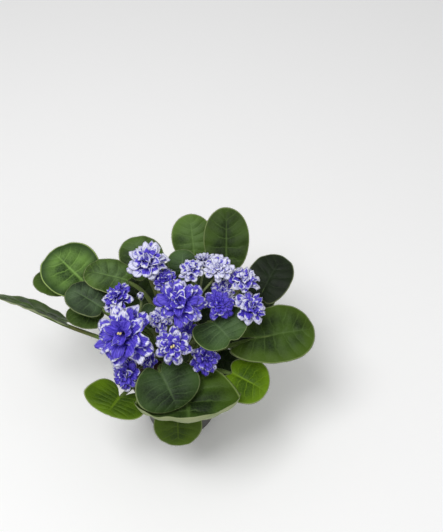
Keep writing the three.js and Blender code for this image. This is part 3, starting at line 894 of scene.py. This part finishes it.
# %% Stalk, flower and bud rows
STALKS = [
    # name, heading and height at the crown, fork
    ("stalk_rear_left", (112, 96), (-14, 34, 132)),
    ("stalk_left", (195, 95), (-34, -6, 126)),
    ("stalk_middle", (135, 97), (0, 6, 138)),
    ("stalk_rear", (62, 96), (20, 28, 140)),
    ("stalk_right", (20, 96), (40, 16, 132)),
    ("stalk_front_left", (225, 96), (-10, -12, 112)),
    ("stalk_front_right", (320, 95), (16, -12, 108)),
]
FLOWERS = [
    # name, middle, heading and rise of its face, radius, stalk, white share
    ("flower_rear_left", (-23, 49.3, 165), (200, 82), 18, 0, 0.66),
    ("flower_rear_left_low", (-8, 36, 154), (300, 60), 11, 0, 0.3),
    ("flower_rear", (14, 40, 164), (220, 80), 11, 3, 0.75),
    ("flower_rear_white", (36.4, 39, 168), (250, 80), 12.7, 3, 0.85),
    ("flower_rear_right", (58, 33, 160.5), (20, 76), 13.2, 4, 0.6),
    ("flower_top", (6, 3, 170), (280, 76), 20, 2, 0.24),
    ("flower_right_blue", (37, 9.5, 158), (300, 70), 13, 4, 0.05),
    ("flower_right", (63.5, 9, 154), (340, 62), 14.6, 4, 0.5),
    ("flower_left_upper", (-47, 16, 158), (190, 66), 14, 1, 0.3),
    ("flower_left", (-39, -19, 156), (235, 58), 25, 1, 0.33),
    ("flower_front", (0, -25, 148), (275, 55), 15, 5, 0.4),
    ("flower_centre_low", (-12, 4, 144), (240, 60), 11, 2, 0.7),
    ("flower_centre_right", (10, -3, 138), (280, 60), 10, 2, 0.25),
    ("flower_front_low", (-40, -33, 118), (225, 40), 14, 5, 0.25),
    ("flower_right_low", (26, -22, 124), (310, 50), 13, 6, 0.2),
    ("flower_rear_low", (25, 62, 149.5), (70, 56), 11, 3, 0.8),
    ("flower_rear_middle", (40, 29, 149), (270, 58), 10, 4, 0.55),
    ("flower_front_inner", (-22, -22, 121), (235, 50), 8.5, 5, 0.3),
]
BUDS = [
    # name, middle, radius, stalk
    ("bud_left", (-27, 16, 158), 3.2, 1),
    ("bud_rear", (-6, 54, 140), 3, 0),
    ("bud_right", (49, 17, 151), 3, 4),
]
print(len(STALKS), "stalks,", len(FLOWERS), "flowers and", len(BUDS), "buds")

# %% [markdown]
# ## Sepals and bracts
# Sepals hold a flower or bud from behind, and two bracts sit at each fork. All of them are small hairy scales that
# narrow to a point, so one helper presses them from the same small ball.

# %% Grow small scales
def grow_scales(drawing, sheets, narrowing, thickness, material=0):
    """Adds a scale for each sheet. It narrows by this share from its base to its tip."""
    before = len(drawing.faces)
    for sheet in sheets:
        for vertex, angle, share, side in flat_ball(drawing, 12, 8):
            forward, sideways = sheet.flat(angle, share)
            sideways *= 1 - narrowing * max(forward, 0) / sheet.length
            vertex.co = sheet.point(forward, sideways, side * half_thickness(share, thickness))
    drawing.faces.ensure_lookup_table()
    for face in drawing.faces[before:]:
        face.material_index = material


trial = bmesh.new()
grow_scales(trial, [sample], 0.6, 0.5)
print("faces of one scale:", len(trial.faces))
trial.free()

# %% [markdown]
# ## Grow every stalk
# The stalk rises from the crown and turns to come up straight under its fork. Each pedicel then leaves the fork and
# arrives square to the back of its flower, where it swells into the calyx.

# %% Grow a stalk
STALK_THICK, STALK_THIN = 2.1, 1.5
STALK_RISE = 60
STALK_STEPS = 18
STALK_HAIRS_PER_MM = 2.0
PEDICEL_THICK, PEDICEL_THIN = 1.15, 0.95
PEDICEL_STEPS = 10
PEDICEL_SIDES = 10
PEDICEL_ROOT = 1.8
PEDICEL_HAIRS_PER_MM = 1.6
CALYX_DEPTH, BUD_DEPTH = 0.48, 1.25


def stalk_path(fork, heading, height):
    """From inside the crown to the fork."""
    start = crown_point(heading, height, 1.0)
    reach = 0.35 * (fork - start).length
    return smooth_path([start, start + compass(heading, STALK_RISE) * reach, fork - Vector((0, 0, reach)), fork],
                       STALK_STEPS)


def pedicel_path(fork, middle, facing, depth):
    """From the fork to the back of a flower or bud."""
    root = fork - Vector((0, 0, PEDICEL_ROOT))
    end = middle - facing * depth
    reach = 0.3 * (end - root).length
    return smooth_path([root, root + Vector((0, 0, reach)), end - facing * reach, end], PEDICEL_STEPS)


def heads_on(stalk_number):
    """The middle, facing and depth of each flower and bud that this stalk carries."""
    upright = Vector((0, 0, 1))
    flowers = [(Vector(middle), compass(*facing), CALYX_DEPTH * radius)
               for _, middle, facing, radius, carrier, _ in FLOWERS if carrier == stalk_number]
    return flowers + [(Vector(middle), upright, BUD_DEPTH * radius)
                      for _, middle, radius, carrier in BUDS if carrier == stalk_number]


def grow_stalk(stalk_number, row):
    """Builds one stalk with the pedicels of its flowers and buds, and returns its length."""
    name, (heading, height), fork = row
    chance = random.Random(name)
    fork = Vector(fork)
    stalk = bmesh.new()
    points, radii = stalk_path(fork, heading, height), taper(STALK_THICK, STALK_THIN, STALK_STEPS)
    bend_rod(stalk, points, radii)
    spikes = rod_hairs(points, radii, STALK_HAIRS_PER_MM, chance)
    slim = [PEDICEL_THICK + (PEDICEL_THIN - PEDICEL_THICK) * math.sin(math.pi * n / PEDICEL_STEPS)
            for n in range(PEDICEL_STEPS + 1)]
    for head in heads_on(stalk_number):
        path = pedicel_path(fork, *head)
        bend_rod(stalk, path, slim, PEDICEL_SIDES)
        spikes += rod_hairs(path, slim, PEDICEL_HAIRS_PER_MM, chance)
    bract_root = fork - Vector((0, 0, 1))
    bracts = [Sheet(bract_root + compass(way, 0) * 1.2, turned(way, 50, 0), 5, 1.8, 30, 30, narrow=-0.3)
              for way in (heading, heading + 180)]
    grow_scales(stalk, bracts, 0.6, 0.5)
    grow_hairs(stalk, spikes)
    make_piece(stalk, name + "_grown", [STALK_FINISH], name)
    return path_length(points)


for number, row in enumerate(STALKS):
    print(row[0], "is", round(grow_stalk(number, row)), "mm long")

# %% [markdown]
# ## The petal finish
# The petals are blue-violet with white margins and white splashes, and faint darker streaks run along them. Where
# the white begins wanders from petal to petal. Each petal therefore carries its own number for how white it is, and
# a pattern that lies on the flat petal, so that it follows every ruffle.

# %% Petal marbling as a node group
SPLASH_SCALE = 0.26
STREAK_SIZES = (0.16, 1.3, 1.0)
WHITE_FROM, WHITE_TO = 0.42, 0.82

marbling, source, result = new_group(
    "petal_marbling", {"Blade Place": None, "Flat Place": None, "White": 0.4}, ["White", "Streaks", "Depth"]
)
petal = axes(marbling, source["Blade Place"])
splash = clouds(marbling, source["Flat Place"], SPLASH_SCALE, 1.0)
streak = clouds(marbling, stretched(marbling, source["Flat Place"], STREAK_SIZES), 1.0)
outward = times(marbling, splash, 1.9, times(marbling, petal["X"], 0.75, -1.5))
white = sums(marbling, "ADD", outward, times(marbling, streak, 0.5, -0.25))
edge = times(marbling, mask(marbling, petal["Z"], 0.7, 0.98), 0.36)
white = sums(marbling, "ADD", sums(marbling, "ADD", white, edge), source["White"])
fill(marbling, result, {
    "White": mask(marbling, white, WHITE_FROM, WHITE_TO),
    "Streaks": mask(marbling, streak, 0.38, 0.66),
    # the throat: partly the petal's own deep violet, partly painted shade where petals overlap at their bases
    "Depth": mask(marbling, petal["X"], 0.62, 0.1),
})
print("nodes in the marbling:", len(marbling.nodes))

# %% [markdown]
# A petal mixes five colours by that pattern: two violets in streaks, a deep one in its throat, which is partly its own
# colour and partly painted shade where the petals overlap, and two whites. Its skin is a sheet of tiny cells, which
# sparkle a little. Sepals and anthers are small, so one plain recipe with a nap does for both.

# %% Petal, sepal and anther materials
def petal_material(name):
    """The violet and white petal."""
    material, tree, shader = new_material(name)
    marks = place_group(tree, marbling, Blade_Place=carried(tree, "blade_place"),
                        Flat_Place=carried(tree, "flat_place"), White=carried(tree, "white_share", "Fac"))
    violet = mix(tree, marks["Streaks"], paint(52, 34, 170), paint(104, 86, 224))
    # painted shade at the petal's base, over its own deeper violet throat
    violet = mix(tree, marks["Depth"], violet, paint(22, 8, 92))
    white = mix(tree, marks["Streaks"], paint(200, 200, 240), paint(242, 243, 250))
    skin = dots(tree, body_place(tree), 2600.0)
    fill(tree, shader, {
        "Base Color": mix(tree, marks["White"], violet, white),
        "Roughness": times(tree, skin, 0.2, 0.42),
        "Normal": bumps(tree, times(tree, marks["Streaks"], 1.5, skin), 0.3, 0.0002),
        "Sheen Weight": 0.25, "Sheen Roughness": 0.35, "Sheen Tint": paint(215, 210, 255),
    })
    return material


def plain_growth(name, low, high, scale, roughness, sheen):
    """A small green or yellow part: two tones in soft patches with a fine nap."""
    material, tree, shader = new_material(name)
    place = body_place(tree)
    patches = place_group(tree, mottling, Place=place, Broad_Scale=scale, Fine_Scale=scale * 4)["Mask"]
    velvet = place_group(tree, nap, Place=place, Hair_Scale=2400.0)
    fill(tree, shader, {
        "Base Color": mix(tree, patches, low, high),
        "Roughness": times(tree, velvet["Gloss"], 0.2, roughness - 0.1),
        "Normal": bumps(tree, velvet["Height"], 0.3, 0.0002),
        "Sheen Weight": sheen,
    })
    return material


PETAL_FINISH = petal_material("violet_petal")
SEPAL_FINISH = plain_growth("hairy_sepal", paint(96, 116, 58), paint(128, 140, 84), 260.0, 0.55, 0.3)
ANTHER_FINISH = plain_growth("pollen_anther", paint(198, 174, 92), paint(236, 222, 156), 700.0, 0.6, 0.1)
print("flower finishes:", [finish.name for finish in (PETAL_FINISH, SEPAL_FINISH, ANTHER_FINISH)])

# %% [markdown]
# ## One petal
# A petal is a pressed ball with a frilled margin. The frill is a sum of two waves round the margin, and each petal
# has its own seed, which sets the number of waves and which part of the colour pattern it gets.

# %% Grow a petal
PETAL_THICKNESS = 0.45
PATTERN_STEP = 40
SEEDS = (1, 60)


def grow_petal(drawing, layers, sheet, frill, seed, whiteness, detail):
    """Adds one petal, with detail faces round its margin."""
    blade_place, flat_place, white_share = layers
    waves = 4 + seed % 3
    for vertex, angle, share, side in flat_ball(drawing, detail, detail // 2):
        forward, sideways = sheet.flat(angle, share)
        ruffle = math.sin(waves * angle + seed) + 0.5 * math.sin((waves + 3) * angle + 2 * seed)
        up = side * half_thickness(share, PETAL_THICKNESS) + frill * ruffle * share ** 3
        vertex.co = sheet.point(forward, sideways, up)
        vertex[blade_place] = (*sheet.shares(forward, sideways), share)
        vertex[flat_place] = (forward + PATTERN_STEP * seed, sideways, seed)
        vertex[white_share] = whiteness


def petal_layers(drawing):
    """The attributes that the petal's finish reads."""
    places = new_layers(drawing, "float_vector", "blade_place", "flat_place")
    return places + new_layers(drawing, "float", "white_share")


def ball_at(drawing, place, sizes, turn, material, segments=10):
    """A small ball stretched to these half sizes, turned and moved into place."""
    ball = bmesh.new()
    placed = Matrix.Translation(place) @ turn.to_4x4() @ Matrix.Diagonal((*sizes, 1))
    bmesh.ops.create_uvsphere(ball, u_segments=segments, v_segments=segments // 2 + 1, radius=1, matrix=placed)
    for face in ball.faces:
        face.material_index = material
    pour(ball, drawing)


print("a petal is", PETAL_THICKNESS, "mm thick")

# %% [markdown]
# ## How a double flower is built
# A double flower is a set of whorls. The outer petals lie almost flat and turn their tips down, the next whorl
# stands half up, and the innermost petals are small, cupped and nearly upright round the anthers. Lengths are
# shares of the flower's radius, so one recipe makes every size.

# %% The whorls
WHORLS = [
    # petals, length, width, pitch, droop, cup
    (8, 1.1, 0.66, 18, 36, 10),
    (8, 1.06, 0.6, 42, 62, 16),
    (7, 1.02, 0.52, 62, 74, 24),
    (6, 0.92, 0.44, 78, 70, 34),
    (5, 0.8, 0.36, 86, 40, 50),
]
OPEN_FLOWERS = ("flower_left", "flower_front")  # these lack the innermost whorl, so their anthers show
print("petals of a closed flower:", sum(whorl[0] for whorl in WHORLS))

# %% [markdown]
# The petals of a real flower never stand quite even. Each one is turned, tipped, rolled, sized and bent by a little
# chance, drawn from the flower's own name, so that every run grows the same flower.

# %% Grow a flower
PETAL, SEPAL, ANTHER = range(3)
PETAL_BASE, CALYX_BASE = -0.36, -0.46
TURN_SCATTER, TIP_SCATTER, ROLL_SCATTER, DROOP_SCATTER = 14, 7, 24, 16
WHITE_SCATTER, WHITE_LOSS = 0.2, 0.06
FRILL, INNER_FRILL = 0.085, 0.012
LARGE_FLOWER = 18


def grow_calyx(drawing, middle, face_turn, radius):
    """Five green sepals and the little cup that they grow from."""
    back = middle + face_turn @ Vector((0, 0, CALYX_BASE * radius))
    ball_at(drawing, back, (1.7, 1.7, 1.5), face_turn, SEPAL)
    sepals = [Sheet(back, face_turn @ turned(number * 72 + 20, 18, 0), min(0.55 * radius, 8), 2.6, -20, 20)
              for number in range(5)]
    grow_scales(drawing, sepals, 0.55, 0.6, SEPAL)


def grow_whorl(drawing, layers, base, face_turn, radius, whorl, whiteness, chance):
    """One ring of petals."""
    count, length, width, pitch, droop, cup = WHORLS[whorl]
    detail = 20 if radius < LARGE_FLOWER else 28
    first = chance.uniform(0, 360)
    for number in range(count):
        heading = first + number * 360 / count + chance.uniform(-TURN_SCATTER, TURN_SCATTER)
        tip = pitch + chance.uniform(-TIP_SCATTER, TIP_SCATTER)
        turn = face_turn @ turned(heading, tip, chance.uniform(-ROLL_SCATTER, ROLL_SCATTER))
        size = radius * chance.uniform(0.95, 1.04)
        bend = droop + chance.uniform(-DROOP_SCATTER, DROOP_SCATTER)
        sheet = Sheet(base, turn, length * size, width * size, bend, cup, narrow=0.45)
        white = whiteness + chance.gauss(0, WHITE_SCATTER) - WHITE_LOSS * whorl
        frill = (FRILL + INNER_FRILL * whorl) * radius
        grow_petal(drawing, layers, sheet, frill, chance.randrange(*SEEDS), white, detail)


def grow_flower(row):
    """Builds one flower from its row and returns how many faces it has."""
    name, middle, facing, radius, _, whiteness = row
    chance = random.Random(name)
    middle, face_turn = Vector(middle), compass(*facing).to_track_quat("Z", "Y").to_matrix()
    flower = bmesh.new()
    layers = petal_layers(flower)
    base = middle + face_turn @ Vector((0, 0, PETAL_BASE * radius))
    is_open = name in OPEN_FLOWERS
    for whorl in range(len(WHORLS) - is_open):
        grow_whorl(flower, layers, base, face_turn, radius, whorl, whiteness, chance)
    grow_calyx(flower, middle, face_turn, radius)
    height = (0.26 if is_open else -0.1) * radius
    for side in (-1, 1):
        place = middle + face_turn @ Vector((side * 0.9, side * 0.4, height))
        ball_at(flower, place, (0.9, 1.3, 0.8), face_turn, ANTHER)
    piece = make_piece(flower, name + "_grown", [PETAL_FINISH, SEPAL_FINISH, ANTHER_FINISH], name)
    return len(piece.data.polygons)


print("flower faces in all:", sum(grow_flower(row) for row in FLOWERS))

# %% [markdown]
# ## Buds
# A bud is a furled ball of petals held by five green sepals. Its tip shows the first colour of the flower.

# %% Grow a bud
def grow_bud(row):
    """Builds one bud from its row and returns how many faces it has."""
    name, middle, radius, _ = row
    chance = random.Random(name)
    middle, upright = Vector(middle), Matrix.Identity(3)
    bud = bmesh.new()
    layers = petal_layers(bud)
    base = middle - Vector((0, 0, 1.1 * radius))
    for number in range(5):
        turn = turned(number * 72 + chance.uniform(-8, 8), 62, 14)
        sheet = Sheet(base, turn, 2.9 * radius, 1.5 * radius, -66, 46, narrow=0.2)
        grow_petal(bud, layers, sheet, 0.04 * radius, chance.randrange(*SEEDS), 0.6, 16)
    ball_at(bud, middle - Vector((0, 0, 0.2 * radius)), (0.72 * radius, 0.72 * radius, radius), upright, PETAL, 14)
    ball_at(bud, base, (1.5, 1.5, 1.3), upright, SEPAL)
    sepals = [Sheet(base, turned(number * 72 + 36, 40, 0), 2.2 * radius, 0.75 * radius, -75, 30)
              for number in range(5)]
    grow_scales(bud, sepals, 0.5, 0.5, SEPAL)
    return len(make_piece(bud, name + "_grown", [PETAL_FINISH, SEPAL_FINISH], name).data.polygons)


print("bud faces in all:", sum(grow_bud(row) for row in BUDS))

# %% [markdown]
# ## The crown
# The crown is the short fleshy stem under the flowers. Old leaves leave a scar where they came off, in a spiral. A
# rod is cut in many rings, narrowed like the solid model, and pushed in and out along that spiral.

# %% The crown
CROWN_FOOT = 65.3
CROWN_RINGS, CROWN_SIDES = 44, 48
FOOT_RADII, TOP_RADII = [7.9, 8.4, 9.0], [6.6, 5.6, 4.0]
SCAR_DEPTH, ROUGH_DEPTH = 0.5, 0.25

crown = bmesh.new()
crown_line = [Vector((0, 0, height)) for height in taper(CROWN_FOOT, CROWN_TOP, CROWN_RINGS)]
crown_radii = FOOT_RADII + [crown_radius(point.z) for point in crown_line[3:-3]] + TOP_RADII
for vertex, _ in bend_rod(crown, crown_line, crown_radii, CROWN_SIDES):
    turn = math.atan2(vertex.co.y, vertex.co.x)
    scar = math.cos(3 * turn + vertex.co.z * 1.1) * math.cos(2 * turn - vertex.co.z * 1.7)
    inward = SCAR_DEPTH * (0.5 + 0.5 * scar) + ROUGH_DEPTH * noise.noise(vertex.co * 0.5)
    vertex.co -= Vector((vertex.co.x, vertex.co.y, 0)).normalized() * inward
CROWN_FINISH = stem_material("fleshy_crown", paint(132, 144, 92), paint(98, 108, 62), paint(108, 80, 54))
make_piece(crown, "crown_grown", [CROWN_FINISH], "crown")
print("crown from", CROWN_FOOT, "to", CROWN_TOP, "mm")

# %% [markdown]
# ## Soil
# The pot holds a dark peaty mix with white perlite. Both are rough and dull, and differ in their colours, so one
# earthy recipe makes both finishes.

# %% Soil finish
def soil_material(name, low, high, spot, roughness):
    """An earthy finish: two tones, specks, and a coarse grain."""
    material, tree, shader = new_material(name)
    place = body_place(tree)
    patches = place_group(tree, mottling, Place=place, Broad_Scale=160.0, Fine_Scale=700.0)["Mask"]
    specks = times(tree, mask(tree, dots(tree, place, 900.0), 0.3, 0.12), 0.5)
    grain = clouds(tree, place, 1100.0, 4.0)
    fill(tree, shader, {
        "Base Color": mix(tree, specks, mix(tree, patches, low, high), spot),
        "Roughness": times(tree, grain, 0.25, roughness - 0.12),
        "Normal": bumps(tree, grain, 0.6, 0.0006),
    })
    return material


SOIL_FINISH = soil_material("peaty_soil", paint(40, 29, 21), paint(70, 52, 38), paint(104, 82, 60), 0.85)
PERLITE_FINISH = soil_material("perlite_grain", paint(214, 210, 200), paint(240, 238, 232), paint(190, 182, 168),
                               0.75)
print("soil finishes:", SOIL_FINISH.name, "and", PERLITE_FINISH.name)

# %% [markdown]
# The soil's body is a profile spun round the pot's axis, with a well in its middle for the crown. The surface falls
# a little towards the pot's wall. It is roughened with noise, but not at its edges, where it has to fit.

# %% Spin the soil
SOIL_SPIN_STEPS, SOIL_RINGS = 96, 26
SOIL_EDGE = 39.5
SOIL_EDGE_HEIGHT, SOIL_MIDDLE_HEIGHT = 74, 77
SOIL_PROFILE = [(0, 2.8), (30.4, 2.8), (SOIL_EDGE, SOIL_EDGE_HEIGHT)]
WELL_RADIUS, WELL_FLOOR = 9.8, 65
ROUGH_SCALE, HIGHEST, LOWEST = 0.35, 0.6, -1.1
MARGIN = 0.5


def soil_height(radius):
    """The soil's even height: highest round the crown and lowest at the pot's wall."""
    share = min(max((radius - WELL_RADIUS) / (SOIL_EDGE - WELL_RADIUS), 0), 1)
    return SOIL_MIDDLE_HEIGHT + (SOIL_EDGE_HEIGHT - SOIL_MIDDLE_HEIGHT) * share ** 1.5


def spin_profile(drawing, profile, steps):
    """Spins a profile of (radius, height) points once round the pot's axis."""
    verts = [drawing.verts.new((radius, 0, height)) for radius, height in profile]
    edges = [drawing.edges.new(pair) for pair in zip(verts, verts[1:])]
    bmesh.ops.spin(drawing, geom=verts + edges, cent=(0, 0, 0), axis=(0, 0, 1), angle=math.tau, steps=steps,
                   use_merge=True, use_duplicate=False)
    bmesh.ops.remove_doubles(drawing, verts=drawing.verts, dist=0.001)


soil = bmesh.new()
surface_line = [(radius, soil_height(radius)) for radius in taper(SOIL_EDGE, WELL_RADIUS, SOIL_RINGS)[1:]]
spin_profile(soil, SOIL_PROFILE + surface_line + [(WELL_RADIUS, WELL_FLOOR), (0, WELL_FLOOR)], SOIL_SPIN_STEPS)
for vertex in soil.verts:
    radius = math.hypot(vertex.co.x, vertex.co.y)
    if vertex.co.z > SOIL_EDGE_HEIGHT - MARGIN and WELL_RADIUS + MARGIN < radius < SOIL_EDGE - MARGIN:
        rough = noise.fractal(vertex.co * ROUGH_SCALE, 1.0, 2.0, 3)
        vertex.co.z += max(min(rough, HIGHEST), LOWEST)
print("soil points before its grains:", len(soil.verts))

# %% [markdown]
# Loose crumbs of peat and white grains of perlite lie more than half sunk in the surface. Each is a small ball of a
# few faces, stretched, turned and roughened by chance.

# %% Scatter the grains
CRUMBS, PERLITE_GRAINS = 520, 90
GRAINS_FROM, GRAINS_TO = 11.5, 37.5
SUNK, ROUGHNESS = 0.25, 0.16

chance = random.Random("soil")


def scatter(count, smallest, largest, subdivisions, material):
    """Sets rough grains in the soil, each a little more than half sunk."""
    for _ in range(count):
        radius = math.sqrt(chance.uniform(GRAINS_FROM ** 2, GRAINS_TO ** 2))
        angle = chance.uniform(0, math.tau)
        size = chance.uniform(smallest, largest)
        place = Vector((radius * math.cos(angle), radius * math.sin(angle), soil_height(radius) - SUNK * size))
        turn = Euler([chance.uniform(0, math.tau) for _ in range(3)]).to_matrix().to_4x4()
        shape = Matrix.Diagonal((size, size * chance.uniform(0.6, 0.9), size * chance.uniform(0.5, 0.8), 1))
        made = bmesh.ops.create_icosphere(soil, subdivisions=subdivisions, radius=0.5,
                                          matrix=Matrix.Translation(place) @ turn @ shape)
        for vertex in made["verts"]:
            vertex.co += noise.noise_vector(vertex.co * 1.3) * size * ROUGHNESS
        for face in {face for vertex in made["verts"] for face in vertex.link_faces}:
            face.material_index = material


scatter(CRUMBS, 0.9, 2.4, 1, 0)
scatter(PERLITE_GRAINS, 1.2, 2.6, 2, 1)
print("soil points with its grains:", len(soil.verts))
make_piece(soil, "soil_bed", [SOIL_FINISH, PERLITE_FINISH], "soil")

# %% [markdown]
# ## The pot
# A small nursery pot is thin moulded plastic: a tapered wall, a shoulder that lets pots stack, a straight collar and
# a rolled lip. Its finish is a dark plastic with a fine moulded grain, scratches that run round it, and some dust,
# most of it near the rim.

# %% Pot finish
DUST_LOW, DUST_HIGH = 0.05, 0.085
SCRATCH_SIZES = (60.0, 60.0, 1400.0)

moulding, source, result = new_group("moulded_grain", {"Place": None, "Grain Scale": 900.0}, ["Grain", "Dust"])
fill(moulding, result, {
    "Grain": clouds(moulding, source["Place"], source["Grain Scale"], 3.0),
    "Dust": mask(moulding, clouds(moulding, source["Place"], 45.0, 6.0, Roughness=0.7), 0.5, 0.75),
})

POT_FINISH, tree, shader = new_material("nursery_pot_plastic")
place = body_place(tree)
surface = place_group(tree, moulding, Place=place, Grain_Scale=950.0)
scratches = mask(tree, clouds(tree, stretched(tree, place, SCRATCH_SIZES), 1.0), 0.6, 0.75)
height = mask(tree, axes(tree, place)["Z"], DUST_LOW, DUST_HIGH)
dusty = times(tree, surface["Dust"], times(tree, height, 0.35, 0.12))
plastic = mix(tree, scratches, paint(37, 34, 32), paint(52, 49, 46))
fill(tree, shader, {
    "Base Color": mix(tree, dusty, plastic, paint(120, 100, 80)),
    "Roughness": times(tree, dusty, 0.6, times(tree, surface["Grain"], 0.15, 0.34)),
    "Normal": bumps(tree, surface["Grain"], 0.18, 0.0002),
})
print("pot finish:", POT_FINISH.name, "with", len(tree.nodes), "nodes")

# %% [markdown]
# The pot's section is spun round its axis. The drain holes are cut through its floor with short rods, by Blender's
# exact boolean. Each rod is turned a little, because a cut that runs through an edge of the spun floor leaves gaps.

# %% Spin the pot and cut its drain holes
POT_PROFILE = [
    (0, 2.5), (30.0, 2.5), (30.6, 3.2), (40.3, 77.2), (41.4, 78.0), (43.2, 78.4), (43.3, 84.2), (43.9, 85.0),
    (46.0, 85.0), (46.4, 84.6), (46.4, 83.9), (46.0, 83.5), (45.2, 83.4), (45.0, 82.9), (45.0, 76.5), (44.5, 76.0),
    (42.4, 76.0), (42.0, 75.5), (32.2, 1.2), (31.4, 0.2), (30.6, 0), (26.5, 0), (25.8, 0.8), (0, 0.8),
]
POT_SPIN_STEPS = 112
DRAIN_HOLES, DRAIN_RADIUS, DRAIN_CIRCLE = 6, 4, 21
CUTTER_SIDES, CUTTER_LENGTH = 32, 12
OFF_SEAM = Matrix.Rotation(math.radians(4), 4, "Z")

cutter = bmesh.new()
for number in range(DRAIN_HOLES):
    spot = Matrix.Translation(compass(number * 360 / DRAIN_HOLES, 0) * DRAIN_CIRCLE) @ OFF_SEAM
    bmesh.ops.create_cone(cutter, cap_ends=True, segments=CUTTER_SIDES, radius1=DRAIN_RADIUS, radius2=DRAIN_RADIUS,
                          depth=CUTTER_LENGTH, matrix=spot)
bmesh.ops.scale(cutter, vec=(MM, MM, MM), verts=cutter.verts)
cutter_rods = show("drain_cutter", finished_mesh(cutter, "drain_cutter"))

pot = bmesh.new()
spin_profile(pot, POT_PROFILE, POT_SPIN_STEPS)
pot_piece = make_piece(pot, "nursery_pot", [POT_FINISH], "pot")
holes = pot_piece.modifiers.new("drain holes", "BOOLEAN")
holes.operation, holes.solver, holes.object = "DIFFERENCE", "EXACT", cutter_rods
cut_mesh = bpy.data.meshes.new_from_object(pot_piece.evaluated_get(bpy.context.evaluated_depsgraph_get()))
pot_piece.modifiers.clear()
pot_piece.data = cut_mesh
bpy.data.objects.remove(cutter_rods)
print("pot faces with its", DRAIN_HOLES, "drain holes:", len(cut_mesh.polygons))

# %% [markdown]
# ## Floor and light
# The stage is plain so that the plant is judged by itself: a wide pale floor, a pale sky that fills the shadows, and
# one large soft lamp above and in front, for the photograph's soft daylight. A second, weaker lamp lifts the right
# side.

# %% Floor
FLOOR_HALF_WIDTH = 3
FLOOR_GREY = 0.96

drawing = bmesh.new()
bmesh.ops.create_grid(drawing, x_segments=1, y_segments=1, size=FLOOR_HALF_WIDTH)
floor = show("floor", finished_mesh(drawing, "floor"))
FLOOR_FINISH, tree, shader = new_material("pale_floor")
fill(tree, shader, {"Base Color": (FLOOR_GREY, FLOOR_GREY, FLOOR_GREY, 1), "Roughness": 0.9,
                    "Specular IOR Level": 0.1})
floor.data.materials.append(FLOOR_FINISH)
print("floor is", 2 * FLOOR_HALF_WIDTH, "m wide")


# %% Lights
PLANT_MIDDLE = Vector((0, 0, 0.12))
SKY_STRENGTH = 0.5


def soft_lamp(name, place, size, watts):
    """A square soft lamp aimed at the plant."""
    lamp = show(name, bpy.data.lights.new(name, "AREA"), place)
    lamp.data.size, lamp.data.energy = size, watts
    lamp.rotation_euler = (lamp.location - PLANT_MIDDLE).to_track_quat("Z", "Y").to_euler()
    return lamp


lamps = [soft_lamp("key_lamp", (-0.35, -0.25, 1.35), 0.6, 10), soft_lamp("fill_lamp", (0.9, -0.7, 0.8), 0.8, 2)]
world = bpy.data.worlds.new("pale_sky")
world.use_nodes = True
fill(world.node_tree, world.node_tree.nodes["Background"], {"Color": (1, 1, 1, 1), "Strength": SKY_STRENGTH})
bpy.context.scene.world = world
bpy.context.scene.view_settings.view_transform = "Standard"
print("lamps:", [lamp.name for lamp in lamps])
